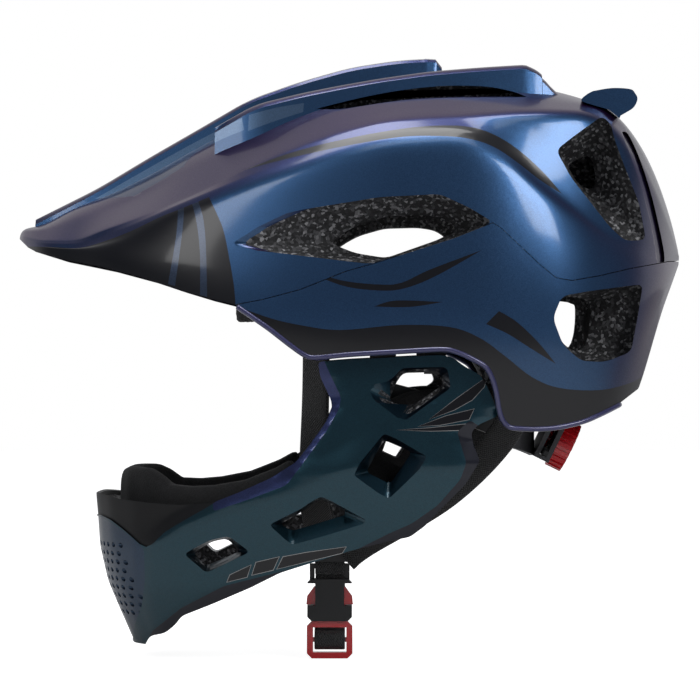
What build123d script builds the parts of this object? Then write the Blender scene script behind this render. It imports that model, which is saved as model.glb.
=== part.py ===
from build123d import *
import math
import os

os.makedirs("parts", exist_ok=True)

# Driving sizes of the helmet, in millimetres. The front is -X, the wearer's left side is -Y.
shell_length = 328.0
shell_width = 204.0
shell_wall = 2.0
bond_line = 0.05
cavity_length = 196.0
cavity_width = 154.0
cavity_rise = 80.0

# The side view is measured in pixels of the photograph. The helmet spans length_px of them.
length_px = 656.0
crown_px = (430.0, 130.0)
view_px = (350.0, 350.0)
camera_distance = 1500.0
px = shell_length / length_px
half_width = shell_width / 2
view_x = (view_px[0] - crown_px[0]) * px
view_z = (crown_px[1] - view_px[1]) * px


def side(point, y=0.0):
    """The (x, z) place of a photograph pixel, for a surface y millimetres off the middle plane."""
    nearer = 1 - abs(y) / camera_distance
    x = view_x + (point[0] - view_px[0]) * px * nearer
    z = view_z - (point[1] - view_px[1]) * px * nearer
    return (x, z)


def ring(points, y):
    """A closed outline of pixels, drawn at the depth y."""
    places = [side(p, y) for p in points]
    return Wire.make_polygon([(x, y, z) for x, z in places], close=True)


def row_z(row):
    """The height of a photograph row on the middle plane."""
    return side((0, row))[1]


def prism(points, y_from, y_to, depth=None):
    """A side-view outline drawn out between two depths. A point may bring its own depth of reading."""
    places = [side(p, p[2] if len(p) > 2 else depth) for p in points]
    face = Face(Wire.make_polygon([(x, y_from, z) for x, z in places], close=True))
    return extrude(face, amount=abs(y_to - y_from), dir=(0, math.copysign(1, y_to - y_from), 0))


def funnel(outer, inner, y_outer, y_inner):
    """A hole that changes from one outline to another with as many corners."""
    return Solid.make_loft([ring(outer, y_outer), ring(inner, y_inner)], ruled=True)


def stacked(rings):
    """A closed body of plain three-sided faces over rings that have as many corners each."""
    faces = []
    for low, high in zip(rings, rings[1:]):
        count = len(low)
        for k in range(count):
            p, q, r, s = low[k], low[(k + 1) % count], high[(k + 1) % count], high[k]
            faces.append(Face(Wire.make_polygon([p, q, r], close=True)))
            faces.append(Face(Wire.make_polygon([p, r, s], close=True)))
    for end in (rings[0], rings[-1]):
        faces.append(Face(Wire.make_polygon(end, close=True)))
    return Solid(Shell(faces))


def mirrored(shape):
    """The same shape on the wearer's other side."""
    return mirror(shape, about=Plane.XZ)


def save(name, shape):
    """Writes one node. Several solids become a group in one file."""
    solids = shape.solids()
    whole = solids[0] if len(solids) == 1 else Compound(children=list(solids))
    whole.label = name
    export_step(whole, "parts/" + name + ".step")


def along(curve, x):
    """Smooth value of a feature line at x. The line is a list of (x, y, z) in order of x."""
    last = len(curve) - 1
    i = 0
    while i < last - 1 and x > curve[i + 1][0]:
        i += 1
    a, b = curve[i], curve[i + 1]
    before, after = curve[max(i - 1, 0)], curve[min(i + 2, last)]
    span = b[0] - a[0]
    t = (x - a[0]) / span
    found = []
    for k in (1, 2):
        rise_a = (b[k] - before[k]) / (b[0] - before[0]) * span
        rise_b = (after[k] - a[k]) / (after[0] - a[0]) * span
        found.append(
            (2 * t**3 - 3 * t**2 + 1) * a[k]
            + (t**3 - 2 * t**2 + t) * rise_a
            + (3 * t**2 - 2 * t**3) * b[k]
            + (t**3 - t**2) * rise_b
        )
    return tuple(found)


# Shell form. Each feature line is (column, row, share of half the width).
crest_shares = (
    (16, 234, 0), (40, 226, 0), (75, 208, 0), (110, 194, 0), (150, 174, 0), (200, 146, 0), (250, 121, 0),
    (300, 103, 0), (350, 92, 0), (400, 86, 0), (450, 84, 0), (500, 85, 0), (545, 91, 0), (580, 101, 0),
    (605, 112, 0), (622, 126, 0), (640, 150, 0), (652, 173, 0), (663, 200, 0), (671, 224, 0), (678, 252, 0),
)
edge_shares = (
    (16, 236, 0.07), (40, 230, 0.18), (75, 219, 0.25), (110, 209, 0.30), (150, 192, 0.34), (183, 174, 0.38),
    (222, 155, 0.43), (260, 138, 0.46), (300, 122, 0.50), (345, 109, 0.54), (400, 101, 0.56), (450, 98, 0.57),
    (500, 98, 0.57), (545, 100, 0.565), (580, 103, 0.55), (605, 108, 0.53), (622, 122, 0.50), (640, 148, 0.44),
    (652, 172, 0.37), (663, 200, 0.27), (671, 226, 0.16), (678, 253, 0.05),
)
flank_shares = (
    (16, 238, 0.10), (40, 240, 0.27), (75, 240, 0.40), (100, 231, 0.48), (150, 213, 0.57), (200, 192, 0.63),
    (250, 167, 0.68), (300, 146, 0.72), (345, 129, 0.75), (400, 118, 0.77), (470, 115, 0.78), (540, 114, 0.765),
    (580, 117, 0.73), (605, 125, 0.69), (622, 139, 0.65), (640, 162, 0.58), (652, 184, 0.49), (663, 210, 0.37),
    (671, 232, 0.23), (678, 254, 0.07),
)
ridge_shares = (
    (16, 240, 0.105), (40, 243, 0.285), (75, 244, 0.42), (120, 230, 0.55), (180, 204, 0.655), (240, 180, 0.725),
    (300, 158, 0.775), (350, 142, 0.81), (400, 132, 0.84), (455, 130, 0.86), (500, 147, 0.87), (540, 180, 0.86),
    (580, 211, 0.82), (605, 230, 0.77), (622, 238, 0.72), (640, 244, 0.64), (652, 248, 0.55), (663, 251, 0.42),
    (671, 253, 0.27), (678, 255, 0.085),
)
foot_shares = (
    (16, 242, 0.11), (40, 246, 0.295), (75, 249, 0.435), (120, 238, 0.58), (180, 213, 0.695), (240, 191, 0.765),
    (300, 169, 0.82), (350, 154, 0.855), (400, 145, 0.885), (455, 144, 0.90), (500, 162, 0.91), (540, 192, 0.90),
    (580, 221, 0.85), (605, 239, 0.79), (622, 247, 0.735), (640, 252, 0.655), (652, 255, 0.56), (663, 256, 0.43),
    (671, 257, 0.275), (678, 257, 0.09),
)
wide_shares = (
    (16, 245, 0.11), (40, 251, 0.30), (75, 256, 0.45), (120, 262, 0.63), (200, 272, 0.79), (300, 290, 0.92),
    (400, 300, 0.985), (480, 306, 1.0), (550, 312, 0.965), (580, 314, 0.92), (605, 313, 0.85), (622, 308, 0.785),
    (640, 300, 0.685), (652, 292, 0.58), (663, 281, 0.44), (671, 272, 0.285), (678, 260, 0.09),
)
low_shares = (
    (16, 248, 0.10), (40, 262, 0.29), (75, 285, 0.44), (140, 310, 0.66), (240, 345, 0.84), (310, 380, 0.90),
    (400, 410, 0.93), (500, 430, 0.93), (560, 430, 0.89), (590, 420, 0.84), (610, 405, 0.78), (625, 385, 0.71),
    (640, 358, 0.60), (652, 328, 0.48), (663, 300, 0.35), (671, 282, 0.22), (678, 263, 0.07),
)
under_shares = (
    (16, 252, 0.09), (40, 275, 0.27), (75, 320, 0.42), (140, 420, 0.64), (240, 490, 0.82), (310, 500, 0.88),
    (400, 505, 0.91), (500, 500, 0.91), (560, 480, 0.87), (590, 462, 0.82), (610, 445, 0.74), (625, 420, 0.66),
    (640, 385, 0.54), (652, 345, 0.42), (663, 308, 0.30), (671, 286, 0.18), (678, 266, 0.055),
)
outer_columns = (20, 36, 60, 95, 140, 190, 245, 300, 360, 420, 480, 530, 572, 605, 630, 650, 664, 674)
inner_columns = (22, 66, 120, 190, 260, 330, 400, 470, 540, 595, 632, 656, 672)
feature_lines = (crest_shares, edge_shares, flank_shares, ridge_shares, foot_shares, wide_shares, low_shares,
                 under_shares)
# Column towards which the whole form shrinks when it is drawn in.
heart_column = 380


def feature(shares):
    """A feature line as places in millimetres."""
    line = []
    for column, row, share in shares:
        y = share * half_width
        x, z = side((column, row), y)
        line.append((x, y, z))
    return line


def section_spots(x, inset):
    """The feature lines' (y, z) at a station, the whole section drawn in by the inset."""
    spots = [along(feature(shares), x) for shares in feature_lines]
    half_wide = max(y for y, z in spots)
    top, low = spots[0][1], spots[-1][1]
    middle = (top + low) / 2
    shrink_y = 1 - inset / half_wide
    shrink_z = 1 - inset / (top - middle)
    return [(y * shrink_y, middle + (z - middle) * shrink_z) for y, z in spots]


# How many pieces the top arc and the side arc of a section have: outside, and where skin meets foam.
outer_steps = (4, 7)
inner_steps = (2, 4)


def form_section(x, x_at, inset, steps):
    """One closed cross-section: an arc over the crown, facets down to the ridge, an arc round the widest part."""
    crest, edge, flank, ridge, foot, wide, low, under = section_spots(x, inset)
    half = []
    for k in range(1, steps[0] + 1):
        t = k / steps[0]
        half.append((edge[0] * t, crest[1] + (edge[1] - crest[1]) * t**2))
    half += [flank, ridge]
    for k in range(steps[1] + 1):
        t = k / steps[1]
        spot = []
        for a, b, c in zip(foot, wide, low):
            pull = 2 * b - (a + c) / 2
            spot.append((1 - t) ** 2 * a + 2 * t * (1 - t) * pull + t**2 * c)
        half.append(tuple(spot))
    half.append(under)
    loop = [crest] + half + [(-y, z) for y, z in reversed(half)]
    return [(x_at, y, z) for y, z in loop]


def outer_form(inset=0.0):
    """The helmet's outside as a full body. With an inset it is drawn in, and coarser because nobody sees it."""
    heart_x = side((heart_column, 0))[0]
    shrink = 1 - inset / (shell_length / 2)
    columns, steps = (inner_columns, inner_steps) if inset else (outer_columns, outer_steps)
    sections = []
    for column in columns:
        x = side((column, 0))[0]
        sections.append(form_section(x, heart_x + (x - heart_x) * shrink, inset, steps))
    return stacked(sections)


# Ribs on the crown: (column, top row, half width at the top). The middle one ends in a blunt edge.
middle_rib_line = (
    (36, 222, 3), (60, 210, 6), (100, 190, 9), (150, 159, 11), (200, 128, 13), (250, 102.5, 15), (300, 85, 16),
    (350, 71, 17), (395, 64, 17), (432, 62, 16), (441, 70, 15),
)
outer_rib_line = (
    (215, 130, 2), (255, 107, 6), (300, 96, 8), (340, 88, 9), (380, 81, 10), (430, 74, 10), (480, 70, 10),
    (530, 67, 9), (541, 79, 8),
)
outer_rib_centre = 35.0
rib_depth = 22.0
rib_spread = 4.0
middle_rib_crown = 1.5
middle_rib_half = 17.0


def rib(line, centre, inset):
    """A raised rib as a loft of cross-sections along its length."""
    sections = []
    last = len(line) - 1
    for i, (column, row, half) in enumerate(line):
        x, z = side((column, row), centre)
        x += inset if i == 0 else -inset if i == last else 0
        top = z - inset
        spread = half + rib_spread - inset
        flat = max(half - inset, half / 3)
        low = z - rib_depth
        crown = top + middle_rib_crown * half / middle_rib_half
        corners = [
            (x, centre - spread, low), (x, centre - flat, top), (x, centre, crown),
            (x, centre + flat, top), (x, centre + spread, low),
        ]
        sections.append(corners)
    return stacked(sections)


def ribbed_form(inset):
    """The helmet's outside with its three ribs."""
    form = outer_form(inset)
    form += rib(middle_rib_line, 0, inset)
    side_rib = rib(outer_rib_line, outer_rib_centre, inset)
    return form + side_rib + mirrored(side_rib)


# Lower rim of the shell: (column, row, depth at which the edge lies).
visor_rim = (
    (24, 246, 8), (32, 251, 20), (40, 254, 30), (65, 259, 42), (100, 266, 55), (140, 277, 65), (200, 296, 76),
    (236, 305, 80), (252, 315, 85), (270, 328, 88), (292, 345, 90), (307, 355, 92),
)
cheek_rim = (
    (318, 356, 92), (350, 353, 93), (400, 350, 94), (440, 348, 95), (455, 350, 95), (472, 357, 95), (487, 366, 94),
    (494, 378, 94), (498, 392, 94), (502, 414, 93), (508, 424, 93), (518, 427, 92), (550, 427, 91),
)
neck_rim = (
    (580, 421, 87), (600, 413, 82), (620, 403, 76), (638, 389, 66), (648, 372, 52), (655, 350, 36), (664, 335, 0),
)
far_right = (720, 330, 0)
far_below = 560


def below_rim(raise_px=0):
    """Everything under the shell's rim, as one cutting body."""
    line = [(c, r - raise_px, d) for c, r, d in visor_rim + cheek_rim + neck_rim]
    start = (0, visor_rim[0][1] - raise_px, 0)
    points = [start] + line + [far_right, (far_right[0], far_below, 0), (0, far_below, 0)]
    return prism(points, -shell_width, shell_width)


seam_line = (
    (236, 305, 80), (262, 300, 88), (300, 290, 92), (345, 272, 95), (380, 262, 98), (455, 238, 96), (493, 223, 94),
    (502, 229, 94), (520, 246, 94), (540, 265, 94), (556, 278, 92), (572, 281, 90), (600, 276, 84), (630, 269, 74),
    (652, 265, 56), (668, 262, 30), (680, 260, 0),
)
seam_gap_px = 1.0
seam_behind = (720, 260)
seam_front = (200, 306)
seam_front_y = 80


def below_seam(raise_px=0):
    """Everything under the seam between the two shells, and all behind it."""
    line = [(c, r - raise_px, d) for c, r, d in seam_line]
    behind, front = seam_behind[0], seam_front[0]
    corners = [(behind, seam_behind[1] - raise_px, 0), (behind, far_below, 0), (front, far_below, 0)]
    points = line + corners + [seam_front + (seam_front_y,)]
    return prism(points, -shell_width, shell_width)


# Side vent above the ear, from the printed outline in to the open hole.
vent_mouth = (
    (184, 243), (230, 228), (300, 210), (380, 197), (440, 194), (470, 208), (493, 222), (455, 238), (370, 264),
    (270, 252),
)
vent_throat = (
    (337, 241), (350, 233), (362, 227), (390, 220), (425, 219), (440, 221), (454, 231), (436, 237), (385, 254),
    (360, 250),
)
vent_mouth_y = 104.0
vent_floor_y = 80.0
vent_end_y = 60.0
rear_vent_y = 100.0
rear_vent_floor_y = 66.0
rear_vent_end_y = 30.0
rear_upper_mouth = (
    (558, 156), (580, 137), (600, 124), (614, 119), (618, 142), (631, 182), (646, 238), (622, 243), (592, 205),
    (570, 178),
)
rear_upper_throat = (
    (570, 168), (578, 160), (586, 156), (592, 156), (594, 166), (596, 176), (594, 188), (588, 188), (582, 184),
    (574, 176),
)
rear_lower_mouth = (
    (553, 320), (562, 304), (590, 296), (641, 288), (637, 320), (628, 356), (605, 367), (579, 364), (565, 348),
)
rear_lower_throat = (
    (556, 320), (562, 307), (580, 302), (588, 304), (588, 320), (584, 332), (575, 342), (569, 340), (561, 330),
)


def vent_cutter(mouth, throat, outer_y, inner_y, end_y):
    """One flared vent: its mouth narrows to the throat and goes straight on into the cavity."""
    flare = funnel(mouth, throat, -outer_y, -inner_y)
    straight = prism(throat, -inner_y, -end_y, inner_y)
    return flare + straight


def side_vents():
    """The cutters of the three vents on each side."""
    cutters = [
        vent_cutter(vent_mouth, vent_throat, vent_mouth_y, vent_floor_y, vent_end_y),
        vent_cutter(rear_upper_mouth, rear_upper_throat, rear_vent_y, rear_vent_floor_y, rear_vent_end_y),
        vent_cutter(rear_lower_mouth, rear_lower_throat, rear_vent_y, rear_vent_floor_y, rear_vent_end_y),
    ]
    return [c for cutter in cutters for c in (cutter, mirrored(cutter))]


# Long vents on the crown: (front column, rear column, inner y, outer y).
crown_vents = (
    (300, 372, 21.5, 25.5), (392, 470, 21.5, 25.5), (455, 540, -9, 9), (318, 400, 47, 54), (425, 515, 47, 54),
)
crown_vent_top = 45.0
crown_vent_flare = 1.5
crown_vent_bottom = 40.0


def crown_slots():
    """Slots straight down through the crown, a little wider at the top."""
    slots = []
    for front, rear, y_in, y_out in crown_vents:
        x_front, x_rear = side((front, 0))[0], side((rear, 0))[0]
        wires = []
        for z, grow in ((crown_vent_top, crown_vent_flare), (-crown_vent_bottom, -crown_vent_flare)):
            corners = [(x_front - 2 * grow, y_in - grow), (x_rear + 2 * grow, y_in - grow),
                       (x_rear + 2 * grow, y_out + grow), (x_front - 2 * grow, y_out + grow)]
            wires.append(Wire.make_polygon([(x, y, z) for x, y in corners], close=True))
        slot = Solid.make_loft(wires, ruled=True)
        slots.append(slot)
        if y_in > 0:
            slots.append(mirrored(slot))
    return slots


cavity_levels = 6
cavity_corners = 32
cavity_top_share = 0.35


def cavity_ring(z, share):
    """One level of the cavity, as a many-sided oval."""
    spots = []
    for k in range(cavity_corners):
        turn = 2 * math.pi * k / cavity_corners
        x, y = cavity_length / 2 * math.cos(turn), cavity_width / 2 * math.sin(turn)
        spots.append((x * share, y * share, z))
    return spots


def cavity():
    """The room for the head: half an ellipsoid on an upright oval shaft."""
    rings = []
    for k in range(cavity_levels + 1):
        turn = math.pi / 2 * (k + cavity_top_share) / (cavity_levels + cavity_top_share)
        rings.append(cavity_ring(-cavity_rise * (1 - math.cos(turn)), math.sin(turn)))
    rings.append(cavity_ring(-2 * shell_width, 1))
    return stacked(rings)


# Hollow under the peak, and how the foam stands back from the rim and from the peak's skin.
visor_hollow = (
    (40, 250), (75, 246), (110, 244), (150, 244), (185, 258), (212, 282), (230, 300), (236, 320), (236, 560),
    (40, 560),
)
rim_reveal_px = 5.0
visor_foam = 6.0
visor_hollow_y = 60.0

# Fin over each rear vent, drawn as a side outline between two distances from the middle.
fin_outline = ((575, 101), (592, 91), (630, 89), (637, 99), (633, 107), (619, 116), (600, 112))
fin_inner_y = 44.0
fin_outer_y = 58.0


def shells_and_liner():
    """The upper and lower painted shells and the foam moulded inside them."""
    outer = ribbed_form(0)
    inner = ribbed_form(shell_wall)
    vents = side_vents() + crown_slots()
    fin = prism(fin_outline, -fin_inner_y, -fin_outer_y, fin_outer_y)
    skin = (outer + [fin, mirrored(fin)]) - ([inner, below_rim()] + vents)
    upper = skin - below_seam(seam_gap_px)
    lower = skin & below_seam()
    hollow = outer_form(shell_wall + visor_foam) & prism(visor_hollow, -shell_width, shell_width, visor_hollow_y)
    sockets = socket_pockets(tongue_play + socket_wall + bond_line)
    foam = inner - [below_rim(rim_reveal_px), cavity(), hollow] - (vents + sockets)
    return upper, lower, foam


# Chin guard. Level sections: (row, front column, width at the rear end as a share of the shell's).
guard_level_shares = (
    (336, 108, 0.882), (400, 103, 0.897), (462, 97, 0.912), (492, 95, 0.882), (514, 97, 0.853), (545, 99, 0.804),
    (580, 107, 0.75), (606, 118, 0.696), (640, 133, 0.627),
)
guard_rear_column = 510
# The plan of the bow, as shares of its length behind the nose and of its half width.
guard_plan_shares = (
    (0.0, 0.0), (0.012, 0.2), (0.045, 0.36), (0.11, 0.53), (0.2, 0.675), (0.32, 0.80), (0.48, 0.90), (0.7, 0.965),
    (1.0, 1.0),
)
guard_wall = 2.6
guard_foam_depth = 9.0
guard_pad_gap = 0.3
guard_pad_depth = 9.0
guard_outline = (
    (318, 366, 88), (320, 376, 88), (331, 400, 88), (332, 408, 88), (326, 422, 88), (311, 443, 86), (296, 462, 84),
    (271, 478, 80), (240, 492, 72), (212, 503, 66), (180, 505, 55), (150, 503, 42), (120, 499, 28), (97, 492, 8),
    (60, 492, 0), (60, 660, 0), (150, 660, 0), (151, 636, 30), (165, 633, 40), (175, 625, 45), (182, 616, 50),
    (210, 605, 56), (250, 588, 64), (280, 573, 70), (305, 565, 74), (350, 551, 78), (390, 541, 80), (410, 536, 82),
    (425, 525, 84), (440, 510, 85), (465, 485, 88), (480, 460, 90), (474, 446, 90), (471, 433, 90), (478, 425, 91),
    (494, 417, 91), (490, 402, 91), (484, 386, 91), (477, 375, 91), (464, 366, 91), (452, 358, 91), (440, 356, 91),
    (400, 358, 90), (350, 361, 89),
)
lip_outline = (
    (60, 480), (105, 480), (120, 490), (150, 495), (213, 498), (212, 504), (190, 517), (165, 532), (146, 547),
    (125, 531), (101, 515), (60, 509),
)
grille_outline = (
    (60, 510.5), (100, 516.5), (125, 532.5), (143, 548), (145, 580), (142, 605), (134, 627), (126, 650), (60, 650),
)
panel_gap_px = 0.6
window_outlines = (
    (((372, 398), (393, 365), (450, 364), (454, 388), (408, 417)),
     ((388, 400), (400, 374), (444, 373), (446, 386), (410, 405)), 92.0),
    (((375, 431), (422, 452), (398, 495), (355, 477)), ((383, 440), (411, 454), (391, 484), (366, 473)), 89.0),
    (((267, 524), (314, 489), (359, 510), (357, 524), (292, 543)),
     ((280, 520), (318, 499), (345, 512), (343, 519), (293, 533)), 76.0),
    (((185, 553), (229, 530), (249, 552), (206, 575)), ((194, 552), (226, 538), (239, 552), (206, 566)), 60.0),
)
window_rise = 9.0
window_sink = 6.0
window_reach = 34.0
grille_hole = 1.2
grille_pitch = 5.6
grille_columns = 5
grille_rows = 7
grille_top_row = 541
hole_reach = 60.0
hole_start_column = 80


def guard_section(row, front_column, share, inset):
    """One level section of the bow, closed across its rear."""
    half = share * half_width
    x_front, z = side((front_column, row))
    x_front += inset
    x_rear = side((guard_rear_column, row))[0]
    length = x_rear - x_front
    right = [(x_front + a * length, b * (half - inset), z) for a, b in guard_plan_shares]
    left = [(x, -y, z) for x, y, z in reversed(right[1:])]
    return right + left


def guard_form(inset):
    """The outer form of the bow as a full body, drawn in by the inset."""
    return stacked([guard_section(row, column, share, inset) for row, column, share in guard_level_shares])


def guard_windows():
    """The cutters of the four windows on each side."""
    cutters = []
    for mouth, throat, depth in window_outlines:
        cutter = vent_cutter(mouth, throat, depth + window_rise, depth - window_sink, depth - window_reach)
        cutters += [cutter, mirrored(cutter)]
    return cutters


def grown(points, grow_px, centre):
    """The outline pushed outward from its middle by about grow_px."""
    moved = []
    for p in points:
        away = (p[0] - centre[0], p[1] - centre[1])
        size = math.hypot(*away)
        moved.append((p[0] + away[0] / size * grow_px, p[1] + away[1] / size * grow_px) + tuple(p[2:]))
    return moved


# Distance from the middle at which the lip and the grille were drawn, and the middle of each outline.
lip_y = 30.0
lip_middle = (130, 515)
grille_y = 16.0
grille_middle = (110, 590)


def chin_guard():
    """The painted bow, its black lip, the perforated mouth grille and the foam behind them."""
    wide = shell_width
    body = guard_form(0)
    behind_skin = guard_form(guard_wall)
    behind_foam = guard_form(guard_wall + guard_foam_depth)
    profile = prism(guard_outline, -wide, wide)
    lip = prism(lip_outline, -wide, wide, lip_y)
    grille = prism(grille_outline, -wide, wide, grille_y)
    windows = guard_windows()
    skin = (body - [behind_skin]) & profile
    shell = skin - [lip, grille] - windows
    lip_body = skin & prism(grown(lip_outline, -panel_gap_px, lip_middle), -wide, wide, lip_y)
    grille_body = skin & prism(grown(grille_outline, -panel_gap_px, grille_middle), -wide, wide, grille_y)
    grille_body -= grille_holes()
    inner_profile = prism(guard_foam_outline, -wide, wide)
    foam = (behind_skin - [behind_foam]) & inner_profile
    foam -= windows + [grille_window()] + root_pockets()
    return shell, lip_body, grille_body, foam


guard_foam_outline = (
    (324, 370, 84), (326, 378, 84), (337, 400, 84), (338, 409, 84), (330, 426, 84), (315, 446, 82), (299, 465, 80),
    (273, 482, 76), (241, 496, 68), (212, 507, 62), (180, 509, 52), (150, 507, 40), (120, 503, 26), (97, 496, 8),
    (60, 496, 0), (60, 628, 0), (150, 628, 0), (165, 626, 40), (175, 618, 45), (182, 610, 50), (210, 599, 54),
    (250, 582, 62), (280, 567, 68), (305, 559, 72), (350, 545, 76), (388, 535, 78), (405, 530, 80), (420, 520, 82),
    (435, 505, 83), (459, 482, 86), (473, 460, 88), (467, 446, 88), (464, 431, 88), (474, 419, 89), (488, 412, 89),
    (485, 404, 89), (479, 389, 89), (472, 379, 89), (461, 371, 89), (450, 363, 89), (400, 363, 88), (350, 366, 86),
)
breathing_outline = ((60, 530), (172, 530), (172, 610), (60, 610))
breathing_half = 17.0
hole_sides = 4


def grille_window():
    """The breathing room behind the perforations."""
    return prism(breathing_outline, -breathing_half, breathing_half, 0)


def grille_holes():
    """Square holes drilled along the length of the helmet, in staggered rows."""
    holes = []
    for row in range(grille_rows):
        x, z_top = side((hole_start_column, grille_top_row))
        z = z_top - row * grille_pitch
        shift = grille_pitch / 2 if row % 2 else 0
        for k in range(grille_columns - row % 2):
            y = (k - (grille_columns - 1) / 2) * grille_pitch + shift
            face = Plane((x, y, z), z_dir=(1, 0, 0)) * RegularPolygon(grille_hole, hole_sides)
            holes.append(extrude(face, amount=hole_reach))
    return holes


# Soft pads of the guard: one bow at the mouth and one pad on each cheek.
bow_pad_outline = (
    (300, 449, 70), (284, 458, 66), (258, 469, 62), (230, 480, 56), (200, 485, 48), (160, 485, 34), (147, 474, 20),
    (136, 468, 14), (120, 466, 8), (90, 466, 0), (90, 560, 0), (160, 560, 34), (230, 545, 56), (300, 520, 70),
)
cheek_pad_outline = (
    (350, 406), (367, 403), (376, 384), (392, 374), (440, 371), (462, 380), (471, 400), (462, 432), (456, 470),
    (432, 498), (402, 512), (368, 514), (350, 498), (346, 440),
)
cheek_pad_middle = (405, 440)
cheek_back_share = 0.7255
cheek_pad_back = cheek_back_share * half_width
cheek_column_slope = 0.02
cheek_row_slope = -0.045
cheek_corner = (350, 370)
# Levels of the cheek pad from its back: (depth, how far its outline is drawn in, in pixels).
cheek_pad_levels = ((0.0, 5.0), (2.5, 0.0), (7.5, 1.5), (10.5, 7.0), (12.0, 16.0))


def cheek_pad():
    """A cushion with drawn-in sides and a crowned face, its back along the foam of the guard."""
    rings = []
    for depth, drawn_in in cheek_pad_levels:
        spots = []
        for column, row in grown(cheek_pad_outline, -drawn_in, cheek_pad_middle):
            lean = (column - cheek_corner[0]) * cheek_column_slope + (row - cheek_corner[1]) * cheek_row_slope
            y = cheek_pad_back + lean - depth
            x, z = side((column, row), cheek_pad_back)
            spots.append((x, -y, z))
        rings.append(spots)
    return stacked(rings)


def guard_pads():
    """The cushion inside the mouth piece and one on each cheek."""
    start = guard_wall + guard_foam_depth + guard_pad_gap
    face = guard_form(start)
    bow = (face - [guard_form(start + guard_pad_depth)]) & prism(bow_pad_outline, -shell_width, shell_width)
    cheek = cheek_pad()
    return bow, cheek, mirrored(cheek)


# Tongues on top of the guard, and the sockets in the foam that hold them.
tongue_columns = ((372, 396), (424, 446))
tongue_width = 3.0
tongue_height = 10.0
tongue_share = 0.799
tongue_y = tongue_share * half_width
tongue_play = 0.35
socket_wall = 1.4
root_play = 0.05
tongue_root_row = 374
rim_row = 351
open_depth = 30.0


def tongue_box(columns, grow, z_low, z_high):
    """An upright block round one tongue, wider than it by the growth."""
    x0, x1 = side((columns[0], rim_row), tongue_y)[0], side((columns[1], rim_row), tongue_y)[0]
    size = (x1 - x0 + 2 * grow, tongue_width + 2 * grow, z_high - z_low)
    return Pos((x0 + x1) / 2, -tongue_y, (z_low + z_high) / 2) * Box(*size)


def tongue_levels():
    """Heights of the tongue's root, of the shell's rim and of the tongue's top."""
    root = side((0, tongue_root_row), tongue_y)[1]
    rim = side((0, rim_row), tongue_y)[1]
    return root, rim, rim + tongue_height


def guard_tongues():
    """Two upright tongues on each side, rooted in the foam of the guard."""
    root, rim, top = tongue_levels()
    near = [tongue_box(columns, 0, root, top) for columns in tongue_columns]
    return near + [mirrored(s) for s in near]


def socket_pockets(grow):
    """Pockets in the shell's foam round the sockets."""
    root, rim, top = tongue_levels()
    near = [tongue_box(columns, grow, rim - open_depth, top + grow) for columns in tongue_columns]
    return near + [mirrored(s) for s in near]


def guard_sockets():
    """Two sockets on each side, open below, that take the tongues."""
    root, rim, top = tongue_levels()
    outer = tongue_play + socket_wall
    shapes = []
    for columns in tongue_columns:
        block = tongue_box(columns, outer, rim, top + outer)
        block -= tongue_box(columns, tongue_play, rim - open_depth, top + tongue_play)
        shapes.append(block)
    return shapes + [mirrored(s) for s in shapes]


def root_pockets():
    """Pockets in the guard's foam round the roots of the tongues."""
    root, rim, top = tongue_levels()
    near = [tongue_box(columns, root_play, root - root_play, top) for columns in tongue_columns]
    return near + [mirrored(s) for s in near]


# Trim along the lower edge of the shell.
bead_height = 3.0
bead_depth = 3.2
bead_proud = 0.9
bead_gap = 0.05
bead_slope = 0.7


def shell_side_at(x, z):
    """Distance from the middle plane to the outer form's side at a height."""
    lines = (flank_shares, ridge_shares, foot_shares, wide_shares, low_shares, under_shares)
    spots = [along(feature(shares), x) for shares in lines]
    for (y0, z0), (y1, z1) in zip(spots, spots[1:]):
        if z1 <= z <= z0:
            t = (z0 - z) / (z0 - z1)
            return y0 + (y1 - y0) * t
    return spots[-1][0]


def bead_stations(line):
    """Places along the rim where it meets the outer form."""
    stations = []
    for column, row, depth in line:
        x, z = side((column, row), depth)
        stations.append((x, shell_side_at(x, z), z))
    return stations


def rim_bead():
    """A ribbon of soft plastic that closes the shell's lower edge, from brow to nape."""
    line = visor_rim[7:] + cheek_rim + neck_rim[:3]
    places = bead_stations(line)
    wires = []
    last = len(places) - 1
    for i, (x, y, z) in enumerate(places):
        before, after = places[max(i - 1, 0)], places[min(i + 1, last)]
        run = Vector(after[0] - before[0], 0, after[2] - before[2]).normalized()
        down = Vector(run.Z, 0, -run.X)
        outward = Vector(0, -1, 0)
        at = Vector(x, -y, z)
        inner, outer = outward * -bead_depth, outward * bead_proud
        top, low = down * bead_gap, down * bead_height
        slope = down * (bead_height * bead_slope)
        wires.append(Wire.make_polygon([at + inner + top, at + outer + top, at + outer + slope, at + low,
                                        at + inner + low], close=True))
    return Solid.make_loft(wires, ruled=True)


# Webbing is drawn through (place, direction across its width). Thickness and width are real sizes.
webbing_width = 15.0
webbing_thick = 1.6
front_strap_path = (
    ((-56.5, -60.0, -100.0), (0.80, -0.60, 0.0)), ((-57.0, -57.5, -135.0), (0.80, -0.60, 0.0)),
    ((-58.0, -41.0, -178.0), (0.84, -0.50, 0.12)), ((-54.0, -19.2, -202.5), (1.0, 0.0, 0.05)),
    ((-52.5, -19.2, -213.0), (1.0, 0.0, 0.0)),
)
rear_strap_path = (
    ((42.0, -65.5, -128.0), (0.91, 0.10, -0.41)), ((33.0, -64.5, -151.0), (0.86, 0.08, -0.50)),
    ((6.0, -53.0, -179.0), (0.60, 0.0, -0.80)), ((-33.0, -31.8, -204.0), (0.58, 0.0, -0.81)),
    ((-43.0, -29.6, -212.0), (0.70, 0.0, -0.70)),
)


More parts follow.
